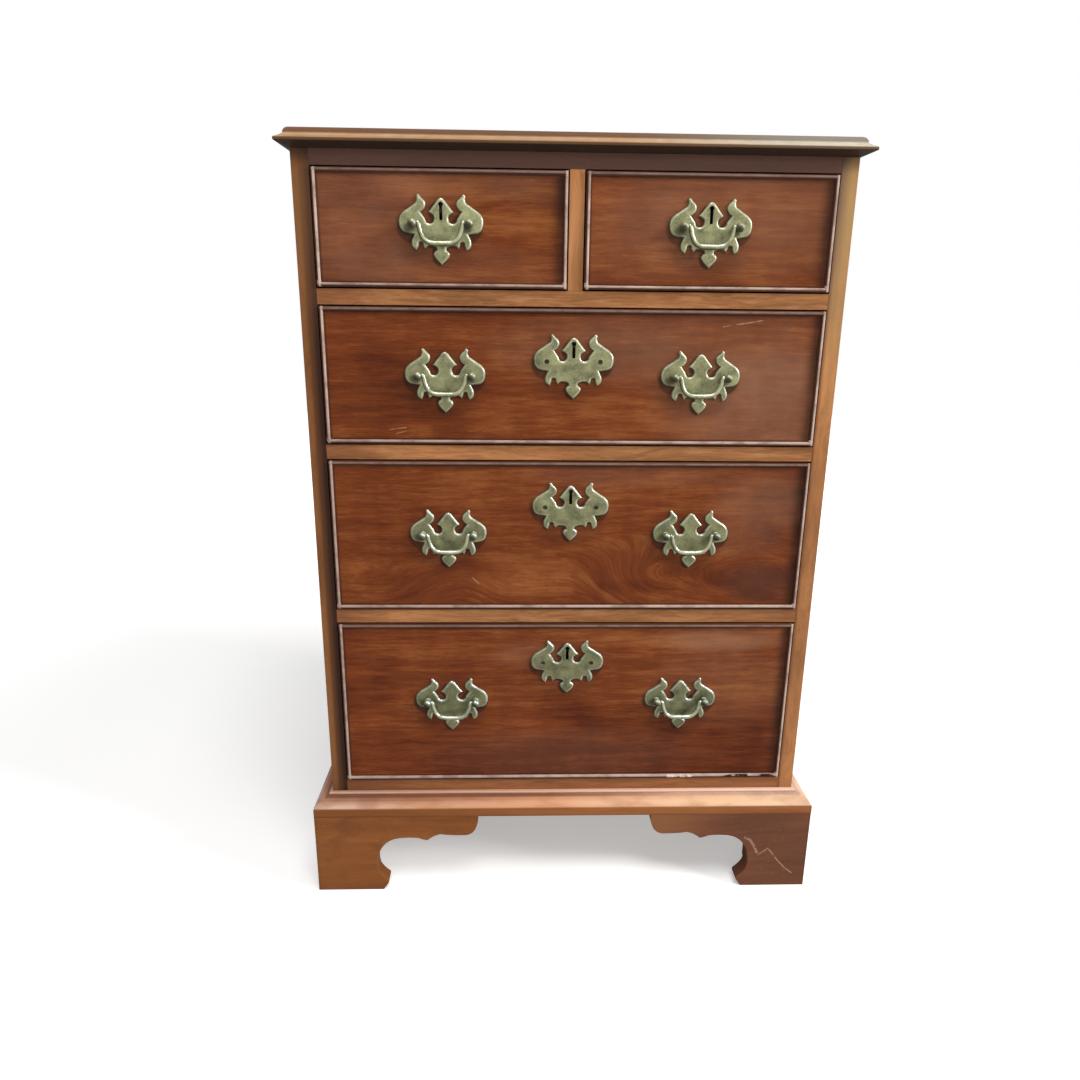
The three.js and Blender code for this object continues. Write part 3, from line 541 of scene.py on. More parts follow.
class Finish(Nodes):
    """A procedural finish. Its places x, y and z are in millimetres in the chest's own frame, and colour is what
    has been laid on so far."""

    def __init__(self, name, roughness=0.4, metallic=0.0, specular=0.5):
        self.material = bpy.data.materials.new(name)
        self.material.use_nodes = True
        super().__init__(self.material.node_tree)
        self.tree.nodes.clear()
        self.shader = self.add("ShaderNodeBsdfPrincipled")
        self.write(self.shader, {"Roughness": roughness, "Metallic": metallic, "Specular IOR Level": specular})
        self.feed(self.add("ShaderNodeOutputMaterial").inputs["Surface"], self.shader.outputs["BSDF"])
        split = self.add("ShaderNodeSeparateXYZ")
        self.feed(split.inputs[0], self.add("ShaderNodeTexCoord").outputs["Object"])
        self.x, self.y, self.z = (Reading(self, socket) * (1 / MM) for socket in split.outputs)

    def noise(self, places, cells, detail=2.0, roughness=0.5):
        """Cloudy noise about 0.5 whose clouds measure cells along each of three places, which are readings or
        the letters of the finish's own."""
        join = self.add("ShaderNodeCombineXYZ")
        for entry, place, cell in zip(join.inputs, places, cells if isinstance(cells, tuple) else (cells,) * 3):
            reading = getattr(self, place) if isinstance(place, str) else place
            self.feed(entry, reading * (1 / cell))
        node = self.add("ShaderNodeTexNoise")
        self.write(node, {"Scale": 1, "Detail": detail, "Roughness": roughness})
        self.feed(node.inputs["Vector"], join.outputs[0])
        return Reading(self, node.outputs["Fac"])

    def ramp(self, reading, places, colours):
        """A colour that follows a reading through colours at places along it."""
        node = self.add("ShaderNodeValToRGB")
        self.feed(node.inputs[0], reading)
        elements = node.color_ramp.elements
        while len(elements) < len(colours):
            elements.new(1)
        for element, place, colour in zip(elements, places, colours):
            element.position = place
            element.color = (*colour[:3], 1)
        return node.outputs["Color"]

    def mix(self, base, colour, share):
        """A colour laid over another by a share from 0 to 1."""
        node = self.add("ShaderNodeMix")
        node.data_type = "RGBA"
        for place, value in ((0, share), (6, base), (7, colour)):
            self.feed(node.inputs[place], value)
        return node.outputs[2]

    def layered(self, base, *coats):
        """A colour under several coats, each a colour and a share."""
        for colour, share in coats:
            base = self.mix(base, colour, share)
        return base

    def coat(self, colour, share):
        """Lays a colour over the finish by a share from 0 to 1."""
        self.colour = self.mix(self.colour, colour, share)

    def attribute(self, name):
        """One of the piece's own attributes."""
        node = self.add("ShaderNodeAttribute")
        node.attribute_name = name
        return Reading(self, node.outputs["Fac"])

    def patch(self, across, up, half_width, half_height):
        """1 in the middle of a soft oval on the front and 0 outside it."""
        aside = (self.x - across) * (1 / half_width)
        above = (self.z - up) * (1 / half_height)
        return (aside * aside + above * above).rise(1, 0)

    def raised(self, reading, rows):
        """A reading plus soft ovals, each a row of the oval's numbers and a strength."""
        return sum((self.patch(*oval) * push for *oval, push in rows), reading)

    def scratch(self, points, width):
        """1 along a broken line on the front and 0 away from it, by the least distance to any of its straights."""
        distances = []
        for (x0, z0), (x1, z1) in zip(points[:-1], points[1:]):
            span = math.hypot(x1 - x0, z1 - z0)
            run, climb = (x1 - x0) / span, (z1 - z0) / span
            aside, above = self.x - x0, self.z - z0
            along = (aside * run + above * climb).most(0).least(span)
            left, over = aside - along * run, above - along * climb
            distances.append(left * left + over * over)
        return reduce(Reading.least, distances).rise(width * width, width * width / 6)

    def paint(self, roughness, height, depth):
        """Puts the colour, the roughness and the bump, depth millimetres deep, on the shader."""
        bump = self.add("ShaderNodeBump")
        self.write(bump, {"Strength": 1, "Distance": depth * MM})
        self.feed(bump.inputs["Height"], height)
        self.feed(self.shader.inputs["Base Color"], self.colour)
        self.feed(self.shader.inputs["Roughness"], roughness)
        self.feed(self.shader.inputs["Normal"], bump.outputs["Normal"])
        return self.material


def wood_figure(finish, along, across, through, seed, sway=9.0, bands=9.0):
    """The figure of a board as three readings about 0: broad bands that wander, fine streaks along the grain,
    and pores as short dark strokes from 0 to 1."""
    start = along + 1000.0 * seed
    wander = finish.noise((start, across, through), (150, 70, 70)) - 0.5
    places = (start, across + wander * sway * 4, through)
    broad = finish.noise(places, (130, bands, 4 * bands), 3, 0.6) - 0.5
    fine = finish.noise(places, (38, 1.6, 5), 3, 0.65) - 0.5
    pores = finish.noise(places, (7, 0.5, 1.2), 1).rise(0.62, 0.72)
    return broad, fine, pores


def place_mm(node):
    """A node's corners in millimetres, as four numbers: left, right, low and high."""
    low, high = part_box(node)
    return low.x / MM, high.x / MM, low.z / MM, high.z / MM


def centre(node):
    """The middle of a node's front across and up, on the face of the carcase."""
    low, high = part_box(node)
    return np.array([(low.x + high.x) / 2, FACE, (low.z + high.z) / 2])


def shades(colour, *shares):
    """A colour made darker or lighter by each share."""
    return [tuple(min(1.0, part * share) for part in colour[:3]) for share in shares]


def shade_of(colour, share):
    """A colour made darker or lighter by a share."""
    return shades(colour, share)[0]


def polished_front(name, colours, seed, look, plates, keyhole, old_holes):
    """Polished mahogany on a drawer front: grain from side to side, a rubbed bead with a painted highlight, and old
    wax and painted shade and shadow inside it. Plates, keyhole and old holes are places across and up."""
    finish = Finish(f"{name}_polish", specular=0.1)
    x, y, z = finish.x, finish.y, finish.z
    face = FACE / MM
    left, right, low, high = place_mm(f"{name}_drawer_front")
    across = finish.raised(z, look.get("swirls", ()))
    for start, end, push, high_mark, low_mark in look.get("fans", ()):
        across = across + x.rise(start, end) * z.rise(high_mark, low_mark) * push
    broad, fine, pores = wood_figure(finish, x, across, y, seed, look.get("sway", 4), look.get("bands", 12))
    blotch = finish.noise((x + 300.0 * seed, across, y), (36, 5, 30), 3, 0.55) - 0.5
    sheen = finish.noise((x + 500.0 * seed, z, y), (26, 60, 60)) - 0.5
    cloud = finish.noise((x - 700.0 * seed, z, y), (130, 70, 70), 1) - 0.5
    streak = finish.noise((x + 900.0 * seed, across, y), (11, 0.9, 9), 2, 0.6) - 0.5
    tone = 0.5 + broad * 0.66 + fine * 0.54 + blotch * 0.8 + streak * 0.5 + cloud * 0.7
    tone = finish.raised(tone + sheen * look["sheen"], look["patches"])
    tone = tone + (x - (left + right) / 2) * (look.get("lean", 0) / (right - left)) - pores * 0.16
    finish.colour = finish.ramp(
        tone, (0, 0.5, 1), (colours.mahogany_dark, colours.mahogany, colours.mahogany_light))
    for points, width, strength in look.get("scratches", ()):
        broken = finish.noise("xzy", 6, 1).rise(0.35, 0.6)
        finish.coat("scratch", finish.scratch(points, width) * broken * strength)
    for point in old_holes:
        finish.coat("old hole", finish.patch(*point, 4, 4).rise(0, 0.4))
    # Near black inside the keyhole: painted shade.
    finish.coat("keyhole", finish.patch(*keyhole, 5, 14).rise(0, 0.1) * y.rise(face + 0.2, face + 1))
    smudge = finish.noise("xzy", 18)
    # Pale haze over the polish: painted reflection.
    for *oval, push in look["glares"]:
        finish.coat("glare", finish.patch(*oval) * push * (smudge + 0.5))
    # Old wax round each plate, with a painted shadow laid a little down and to the left.
    for plate_x, plate_z in plates:
        near = reduce(Reading.most, [finish.patch(plate_x + aside - 1.3, plate_z + above - 1.9, *reach)
                                     for aside, above, *reach in PLATE_LOBES])
        wide = finish.patch(plate_x - 3, plate_z - 3, 52, 42).rise(0.05, 0.8)
        finish.coat(colours.grime_and_shade, (near.rise(0, 0.45) * 0.68).most(wide * 0.22) * (smudge + 0.5))
    # Old wax and painted shade in the crease inside the bead, and a painted shadow of the right and top beads across
    # the front.
    line = (x - left).least(z - low).least(high - z).rise(6.5, 4.2) * 0.75
    shade = ((right - x).rise(19, 4) * 0.8).most((high - z).rise(9, 4) * 0.5)
    finish.coat(colours.grime_and_shade, line.most(shade) * y.rise(face - 0.6, face - 0.1) * (smudge + 0.35))
    finish.coat("bead", y.rise(face - 0.2, face - 0.8) * 0.9)
    # Rubbed beads with a painted highlight: the pale colour lies on the right side of the upright beads, on the upper
    # side of the bottom bead and faintly on the top bead.
    crown = y.rise(face - 0.8, face - 2.4)
    rubbed = finish.noise("xzy", 16, 4, 0.6).rise(0.3, 0.6) * 0.5 + 0.5
    at_left = (x - left).rise(1.4, 2.1) * (x - left).rise(4.6, 3.6) * (z.rise(420, 700) * 0.28 + 0.7)
    at_foot = (z - low).rise(1.5, 2.5) * (z - low).rise(6.4, 5.4) * (x.rise(-200, 130) * 0.3 + 0.65)
    at_right = (right - x).rise(3, 2) * 0.85
    at_head = (high - z).rise(3.2, 2.2) * (high - z).rise(0.6, 1.2) * 0.3
    foot_crown = y.rise(face - 0.2, face - 1)
    wear = rubbed * (crown * at_left.most(at_right).most(at_head)).most(foot_crown * at_foot)
    finish.coat(colours.bead_wear_and_highlight, wear)
    for oval in look.get("breaks", ()):
        worn_off = finish.noise("xzy", (9, 4, 4)).rise(0.4, 0.55)
        finish.coat(colours.grime_and_shade, finish.patch(*oval).rise(0, 0.3) * crown * worn_off)
    for oval in look.get("chips", ()):
        ragged = finish.noise("xzy", 2.5).rise(0.35, 0.55)
        finish.coat("chip", finish.patch(*oval).rise(0.1, 0.5) * crown * ragged)
    return finish.paint(0.34 + smudge * 0.16 + pores * 0.1 + wear * 0.15, fine * 0.7 - pores + broad * 0.8, 0.05)


def board_wood(name, seed, grain, tones, roughness=0.42, bands=10.0, depth=0.06, figure=1.0, dress=None):
    """A plain board. Grain is the letters of its three places with the one along the grain first, tones are its
    dark, body and light colours, and figure is how strong its figure is. Dress may lay coats on it."""
    finish = Finish(name, specular=0.12)
    places = [getattr(finish, letter) for letter in grain]
    broad, fine, pores = wood_figure(finish, *places, seed, bands=bands)
    cloud = finish.noise(places, (150, 90, 90), 1) - 0.5
    tone = 0.5 + (broad * 1.3 + fine * 0.8 - pores * 0.15) * figure + cloud * 0.8
    finish.colour = finish.ramp(tone, (0, 0.5, 1), tones)
    if dress is not None:
        dress(finish, tone)
    smudge = finish.noise("xyz", 25)
    return finish.paint(roughness - 0.08 + smudge * 0.16 + pores * 0.08, fine * 0.8 - pores + broad, depth)


def polished(colours, body=1.0):
    """The tones of polished mahogany, with its body made darker or lighter."""
    return colours.mahogany_dark, shade_of(colours.mahogany, body), colours.mahogany_light


def tarnished(name, patina, rubbed, roughness, metallic, seed, posts=()):
    """Old brass: olive patina in clouds, darker blots, pale metal where the rim attribute says that it is rubbed, as
    wear and painted highlight, and a dark colour where the dirt_and_shade attribute says so and below and on the
    posts' balls, as painted shade."""
    finish = Finish(name, metallic=metallic, roughness=roughness)
    x, y, z = finish.x, finish.y, finish.z
    cloud = finish.noise((x + 90.0 * seed, z, y), 11, 4, 0.6)
    speck = finish.noise((x, z + 40.0 * seed, y), 1.6, 3, 0.6)
    tone = 0.5 + (cloud - 0.5) * 1.9 + (speck - 0.5) * 0.9
    finish.colour = finish.ramp(tone, (0, 0.45, 1), shades(patina, 0.4, 1, 1.7))
    broken = finish.noise("xzy", 5).rise(0.35, 0.6)
    rim, dirt_and_shade = finish.attribute("rim"), finish.attribute("dirt_and_shade")
    finish.coat(rubbed, rim * (broken * 0.45 + 0.45))
    # Painted shadow of each ball on the plate below and left of it, and painted shade on the lower left of the ball.
    ball_foot = FACE / MM - 3.4
    for post_x, post_z in posts:
        under = finish.patch(post_x - 3.2, post_z - 3.4, 6.8, 5.8) * y.rise(ball_foot, ball_foot + 1)
        hollow = finish.patch(post_x - 0.9, post_z - 1.5, 5.2, 4.8) * y.rise(ball_foot + 1, ball_foot)
        dirt_and_shade = dirt_and_shade.most(under * 0.8).most(hollow)
    finish.coat("brass dirt", dirt_and_shade * 0.85)
    return finish.paint((cloud * 0.25 + roughness) - rim * 0.16 + dirt_and_shade * 0.3, cloud * 2 + speck, 0.08)


def filed_iron(name, colours, seed):
    """Filed iron with rust in clouds."""
    finish = Finish(name, metallic=0.8, roughness=0.5)
    x, y, z = finish.x, finish.y, finish.z
    filed = finish.noise((x + 50.0 * seed, z, y), (14, 0.6, 0.6))
    rust = finish.noise((x, z + 30.0 * seed, y), 7, 4, 0.65)
    finish.colour = finish.ramp(filed, (0.2, 0.8), shades(colours.iron, 0.6, 1.5))
    finish.coat("rust", rust.rise(0.52, 0.68) * 0.7)
    return finish.paint(rust * 0.4 + 0.3, filed + rust, 0.08)


class CHEST_OT_mould_top(bpy.types.Operator):
    """Makes the top board with its hollow, nose and round"""

    bl_idname = "chest.mould_top"
    bl_label = "Mould the Top Board"

    def execute(self, context):
        sizes, colours = context.scene.chest_mouldings, context.scene.chest_finishes
        under, face = TOP_LOW.z, TOP_HIGH.z
        reach = TOP_HIGH.x - CARCASE_HALF
        nose_low = under + sizes.nose_rise
        nose_high = nose_low + sizes.nose_height
        round_foot = nose_high + sizes.shoulder_rise
        share = np.linspace(0, 1, 9)
        undercut = np.column_stack([
            reach * share, under + sizes.nose_rise * (share - 0.06 * np.sin(2 * math.pi * share))])
        shoulder = np.column_stack([
            reach + (sizes.round_reach - reach) * share,
            nose_high + sizes.shoulder_rise * share - 0.5 * MM * np.sin(math.pi * share)])
        nose = eased([undercut[-2], (reach, nose_low), (reach, nose_high), shoulder[2]], 1.2 * MM)
        angle, inner = np.linspace(0.05, math.pi / 2, 14), -1.2 * MM
        over = np.column_stack([
            inner + (sizes.round_reach - inner) * np.cos(angle),
            round_foot + (face - round_foot) * np.sin(angle)])
        line = np.concatenate([undercut[:-2], nose[:-1], shoulder[2:], over])
        shell = gridded(carried_round(line), capped=True)

        def dress(finish, tone):
            """Painted shade under the nose, a painted highlight on the nose and shoulder, a browner round with a grey
            painted reflection to the right, and wax rubbed on the top face.
            """
            x, y, z = finish.x, finish.y, finish.z
            nose_mark, foot_mark, face_mark = nose_low / MM, round_foot / MM, face / MM
            broken = finish.noise("xyz", 14, 3, 0.6)
            rolled = z.rise(face_mark - 0.1, face_mark - 1.2)
            finish.coat("top round", z.rise(foot_mark - 0.2, foot_mark + 1.6) * rolled * 0.75)
            at_front = y.rise(FACE / MM + 50, FACE / MM - 2)
            # A grey painted reflection on the round, towards the right and strongest at the front.
            grey = x.rise(20, 220) * rolled * (at_front * 0.85 + 0.15)
            finish.coat("top grey", grey * z.rise(nose_mark, nose_mark + 2) * 0.8)
            finish.coat("nose shade", z.rise(nose_mark + 3.4, nose_mark + 2.4) * 0.8)
            # A pale band on the nose and the shoulder: painted highlight, greyer where the painted reflection is.
            band = z.rise(nose_mark + 2, nose_mark + 3.4) * z.rise(foot_mark + 1.6, foot_mark - 0.4)
            pale = finish.mix("nose pale", "nose grey", grey * 0.85)
            finish.coat(pale, band * (0.5 + broken * 0.6) * (at_front * 0.65 + 0.35))
            # Nearly black under the nose: painted shade.
            finish.coat("under nose", z.rise(nose_mark + 1, nose_mark - 0.2) * 0.95)
            finish.write(finish.shader, {"Specular IOR Level": 0.04})
            wax = finish.noise("xyz", (150, 110, 60), 1).rise(0.3, 0.8)
            finish.coat(shade_of(colours.mahogany, 1.25), wax * z.rise(face_mark - 0.6, face_mark - 0.1) * 0.5)

        wood = board_wood("top_board_polish", 3.1, "xyz", polished(colours, 0.95), bands=14, dress=dress)
        add_arris(new_piece("moulded_top", [shell], "carcase", wood, "top_board"), sizes.arris, 60)
        return {"FINISHED"}


class CHEST_OT_mould_base(bpy.types.Operator):
    """Makes the base frame with its fascia, broad round, quirk and bead"""

    bl_idname = "chest.mould_base"
    bl_label = "Mould the Base Frame"

    def execute(self, context):
        sizes, colours = context.scene.chest_mouldings, context.scene.chest_finishes
        low, high = BASE_LOW.z, BASE_HIGH.z
        reach = BASE_HIGH.x - CARCASE_HALF
        arris_height = low + sizes.fascia_height
        bead_low = high - sizes.bead_height
        start, quirk = math.pi / 5, 0.8 * MM
        angle = np.linspace(start, math.pi / 2, 18)
        out_share = np.cos(angle) / math.cos(start)
        up_share = (np.sin(angle) - math.sin(start)) / (1 - math.sin(start))
        over = np.column_stack([
            sizes.bead_reach + (reach - sizes.bead_reach) * out_share,
            arris_height + (bead_low - quirk - arris_height) * up_share])
        turn, half = np.linspace(-math.pi / 2, math.pi / 2, 9), sizes.bead_height / 2
        bead = np.column_stack([
            sizes.bead_reach - quirk + quirk * np.cos(turn), bead_low + half + half * np.sin(turn)])
        outside = np.concatenate([
            eased([(reach - 1 * MM, low), (reach, low), (reach, arris_height), over[1]], 0.35 * MM)[:-1],
            over[1:], bead])
        rail = 62 * MM
        line = np.concatenate([outside, [(reach - rail, high), (reach - rail, low)]])
        shell = gridded(carried_round(line, np.repeat((0, rail), (len(outside), 2))), joined=True)

        def dress(finish, tone):
            """Faded round with a painted highlight, paler to the right, over a golden face, a painted highlight on
            the bead, a brown quirk and raw pine inside.
            """
            x, y, z = finish.x, finish.y, finish.z
            face_mark, bead_mark, high_mark = arris_height / MM, bead_low / MM, high / MM
            quirk_mark = bead_mark - 0.6
            broken = finish.noise("xyz", (34, 34, 7), 3, 0.55)
            along, across = finish.noise("xyz", (60, 60, 40)) - 0.5, (x + 272.0) * (1 / 544)
            below_top = z.rise(high_mark + 0.5, high_mark - 0.4)
            in_sun = y.rise(FACE / MM + 60, FACE / MM) * 0.6 + 0.4
            upper = z.rise(quirk_mark - 7, quirk_mark - 1.5) * x.rise(20, -200)
            # The round's pale colours are faded polish and a painted highlight, stronger towards the front.
            fade_and_highlight = finish.layered(
                finish.ramp(across + along * 0.2, (0, 0.2, 0.45, 0.75, 1), BASE_FADE_AND_HIGHLIGHT),
                ("base shade", upper * 0.75),
                ("base stain", finish.patch(-214, high_mark - 6, 16, 12) * 0.4),
                ("base streak", finish.patch(205, face_mark + 4.6, 130, 2.6) * 0.6))
            slope = z.rise(face_mark - 0.3, face_mark + 1.5) * below_top
            finish.coat(fade_and_highlight, slope * (0.6 + broken.rise(0.3, 0.62) * 0.36) * in_sun)
            # A pale line on the bead: painted highlight.
            rolled = z.rise(bead_mark + 0.4, bead_mark + 1.2) * below_top
            finish.coat(finish.ramp(across, (0, 0.3, 0.8), BASE_BEAD), rolled * in_sun * 0.85)
            in_quirk = (z - quirk_mark).size().rise(1.2, 0.3)
            finish.coat("quirk", in_quirk * x.rise(230, -60).most(0.35) * 0.9)
            finish.coat("fascia", z.rise(face_mark, face_mark - 1) * x.rise(0, -200) * 0.75)
            finish.coat("base foot", z.rise(low / MM + 2, low / MM + 0.4) * 0.5)
            inside = (x.size() - CARCASE_HALF / MM).most(FACE / MM - y).rise(0, -3)
            finish.coat(shade_of(colours.pine, 0.8), inside)

        wood = board_wood("base_frame_polish", 5.3, "xzy", BASE_TONES, roughness=0.36, figure=0.6, dress=dress)
        add_arris(new_piece("moulded_base", [shell], "carcase", wood, "base_frame"), sizes.arris, 60)
        return {"FINISHED"}


class CHEST_OT_fit_carcase(bpy.types.Operator):
    """Finishes the sides, rails, muntin, dustboards, guide and back"""

    bl_idname = "chest.fit_carcase"
    bl_label = "Finish the Carcase"

    def execute(self, context):
        sizes, colours = context.scene.chest_mouldings, context.scene.chest_finishes
        face, rail_arris = FACE / MM, sizes.arris * 0.7
        for hand, node in ((-1, "left_side"), (1, "right_side")):
            def dress(finish, tone, hand=hand):
                """Faded front edge, golden on the right, with a painted shadow beside the drawers on the left,
                painted shade high on the inner edge on the right, and a painted shadow under the top.
                """
                x, z = finish.x, finish.z
                if hand < 0:
                    coats = (("left stile", x.rise(-251, -243) * 0.35 + 0.62),
                             ("left stile joint", x.rise(-249.5, -245.5) * 0.6),
                             # Painted shadow of the drawers and their beads on the inner edge.
                             (colours.grime_and_shade, x.rise(-245, -240) * 0.8),
                             ("left stile top", z.rise(560, 740) * 0.34))
                else:
                    coats = (("right stile top", z.rise(480, 730) * 0.75),
                             ("right stile joint", x.rise(242, 238.3) * 0.75),
                             # Darker and greyer high up on the inner edge: painted shade.
                             ("right stile grey", x.rise(250, 240) * z.rise(560, 740) * 0.7))
                gold = finish.ramp(tone, (0.1, 0.55, 1), shades(colours.stile_gold, 0.55, 1, 1.5))
                # The last coat is a painted shadow under the top's overhang.
                gold = finish.layered(gold, *coats, (colours.grime_and_shade, z.rise(744, 757) * 0.6))
                finish.coat(gold, finish.y.rise(face + 1.5, face + 0.6))

            wood = board_wood(f"{node}_polish", 7.7 + hand, "zyx", polished(colours, 1.05), bands=16, dress=dress)
            merged_copy(f"{node}_board", node, "carcase", wood, sizes.arris)

        joint = face + 60
        for seed, node in enumerate(("lower_rail", "middle_rail", "upper_rail", "bottom_board")):
            def dress(finish, tone, high=place_mm(node)[3], node=node):
                """Faded golden front edge with a painted shadow of the bead above along its top, and bare oak behind
                the joint.
                """
                x, y, z = finish.x, finish.y, finish.z
                mottle = finish.noise("xzy", (34, 5, 20), 3, 0.6).rise(0.42, 0.68)
                bleach = finish.noise((x + 70.0, z, y), (26, 4, 20), 3).rise(0.5, 0.72)
                lowest = (("lowest rail", 0.55),) if node == "bottom_board" else ()
                dull = x.rise(-170, -236) * 0.55
                if node == "lower_rail":
                    dull = dull.most(x.rise(120, 230) * 0.45)
                # Painted shadow of the drawer's bead on the top of the rail, darker to the left.
                under_bead = z.rise(high - 6.5, high - 0.8) * (x.rise(160, -200) * 0.5 + 0.35)
                gold = finish.ramp(tone, (0.15, 0.5, 0.9), shades(colours.stile_gold, 0.55, 0.97, 1.5))
                gold = finish.layered(
                    gold, ("rail mottle", mottle * 0.5), ("rail bleach", bleach * 0.5), *lowest,
                    ("rail dull", dull), ("under bead", under_bead))
                finish.coat(gold, y.rise(face + 2, face + 1))
                finish.coat(shade_of(colours.oak, 0.75), y.rise(joint - 0.2, joint + 0.2))

            wood = board_wood(f"{node}_polish", 11.3 + seed, "xzy", polished(colours, 1.1), dress=dress)
            merged_copy(f"{node}_edged", node, "carcase", wood, rail_arris)

        def dress_top_rail(finish, tone):
            """Dark polish under the overhang of the top."""
            finish.coat("top rail", finish.y.rise(face + 2, face + 1) * 0.85)

        def dress_muntin(finish, tone):
            """Golden front edge, brightest above its middle."""
            gold = finish.ramp(tone, (0.1, 0.5, 1), shades(colours.stile_gold, 0.65, 1.05, 1.6))
            bright = finish.z.rise(650, 690) * finish.z.rise(740, 700) * 0.3
            finish.coat(finish.mix(gold, "muntin light", bright), finish.y.rise(face + 2, face + 1))

        def dress_back(finish, tone):
            """Each of the four back boards has its own shade, and dust lies along the joints."""
            left, right = place_mm("back_panel")[:2]
            board = finish.math("FLOOR", (finish.x - left) * (4 / (right - left)))
            shade = finish.noise((board * 37.7, board * 11.3, board), 1, 0)
            finish.coat(shade_of(colours.pine, 0.55), shade.rise(0.3, 0.7) * 0.6)
            near = finish.math("PINGPONG", finish.x - left, (right - left) / 8)
            finish.coat(colours.grime_and_shade, near.rise(3, 0.8) * 0.6)

        wood = board_wood("top_rail_polish", 15.9, "xzy", polished(colours), dress=dress_top_rail)
        merged_copy("top_rail_edged", "top_rail", "carcase", wood, rail_arris)
        wood = board_wood("muntin_polish", 17.2, "zxy", polished(colours), dress=dress_muntin)
        merged_copy("muntin_post", "muntin", "carcase", wood, rail_arris)
        wood = board_wood("back_boards_pine", 19.4, "zxy", shades(colours.pine, 0.5, 1, 1.5), roughness=0.75,
                          bands=7, depth=0.12, dress=dress_back)
        merged_copy("back_boards", "back_panel", "carcase", wood, sizes.arris)
        wood = board_wood("guide_pine", 21.4, "yxz", shades(colours.pine, 0.5, 1, 1.4), roughness=0.75, bands=6,
                          depth=0.1)
        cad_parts["drawer_guide"].material_slots[0].material = wood
        return {"FINISHED"}


class CHEST_OT_shape_feet(bpy.types.Operator):
    """Makes the four bracket feet with their scrolled lower edges"""

    bl_idname = "chest.shape_feet"
    bl_label = "Shape the Bracket Feet"

    def execute(self, context):
        for hand, side in ((-1, "left"), (1, "right")):
            for is_rear, end in ((False, "front"), (True, "rear")):
                self.make_foot(context, f"{end}_{side}_foot", hand, is_rear)
        return {"FINISHED"}

    def make_foot(self, context, node, hand, is_rear):
        """Two brackets with a block in their corner. The rear bracket of a rear foot is a plain wedge."""
        sizes, colours = context.scene.chest_mouldings, context.scene.chest_finishes
        (low, high), thickness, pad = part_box(node), sizes.bracket_thickness, sizes.foot_pad
        corner_x = high.x if hand > 0 else low.x
        corner_y, inward = (high.y, -1) if is_rear else (low.y, 1)
        wide, deep, height = high.x - low.x, high.y - low.y, high.z

        def scroll(run):
            """A bracket's outline from the corner of the foot, first up the corner and then back along its scroll."""
            line = traced(BRACKET_START, BRACKET_SHARES, 7)
            curve = np.column_stack([pad + line[:, 0] * (run - pad), line[:, 1] * height])
            return np.concatenate([[(0, 0), (0, height)], curve, [(pad, 0)]])

        def bracket(line, along_x):
            """Both faces of a board and the wall between them along its outline. The inner face starts at the
            thickness of the other board, so the two boards meet in a mitre and share their corner edges, and
            the wall's first face, in the mitre, is left out."""
            inner = np.column_stack([np.maximum(line[:, 0], thickness), line[:, 1]])
            rows = []
            for outline, depth in ((line, 0.0), (inner, thickness)):
                run, off = outline[:, 0], np.full(len(outline), depth)
                dx, dy = (run, off) if along_x else (off, run)
                rows.append(np.column_stack([corner_x - hand * dx, corner_y + inward * dy, outline[:, 1]]))
            points, faces = gridded(np.stack(rows), capped=True)
            return points, faces[1:]

        near, far = thickness - 0.2 * MM, thickness + 38 * MM
        xs = sorted((corner_x - hand * near, corner_x - hand * far))
        ys = sorted((corner_y + inward * near, corner_y + inward * far))
        block = box_shell((xs[0], ys[0], 0.6 * MM), (xs[1], ys[1], height))
        wedge = np.array([(0, 0), (0, height), (wide, height), (wide, height - thickness), (pad, 0)])

        def dress(finish, tone):
            """Dark edges and pale rubs, and raw pine on the corner block."""
            x, y, z = finish.x, finish.y, finish.z
            in_x, in_y = (x - corner_x / MM) * -hand, (y - corner_y / MM) * inward
            inside = in_x.least(in_y).rise(thickness / MM - 1, thickness / MM - 0.2)
            cloud = finish.noise("xyz", (28, 28, 18), 3, 0.6)
            grubby = (cloud.rise(0.5, 0.72) * 0.35).most(z.rise(16, 0) * 0.5 * cloud * 1.4)
            finish.coat("foot grubby", grubby)
            finish.coat("foot rub", finish.noise("xyz", (7, 7, 5), 3, 0.7).rise(0.6, 0.72) * 0.3)
            finish.coat("foot corner", (in_x.rise(5, 0) + in_y.rise(5, 0) - 1).size() * 0.25)
            if node == "front_right_foot":
                front = y.rise(corner_y / MM + 2, corner_y / MM + 1)
                broken = finish.noise("xzy", 4).rise(0.3, 0.55)
                mark = finish.scratch(FOOT_SCRATCH, 0.9).most(finish.scratch(FOOT_RUB, 1.9) * 0.8)
                finish.coat("foot scratch", mark * front * broken * 0.8)
                finish.coat("foot gold", x.rise(178, 108) * z.rise(40, 80) * front * 0.7)
            finish.coat(shade_of(colours.pine, 0.7), inside)

        body, light = FRONT_FEET.get(node, REAR_FOOT)
        wood = board_wood(f"{node}_polish", 23.1 + hand, "xzy", (shade_of(body, 0.5), body, light), figure=0.5,
                          dress=dress)
        shells = [bracket(wedge if is_rear else scroll(wide), True), bracket(scroll(deep), False), block]
        piece = new_piece(f"{node}_bracket", shells, "carcase", wood, node)
        add_arris(piece, sizes.arris * 1.4)


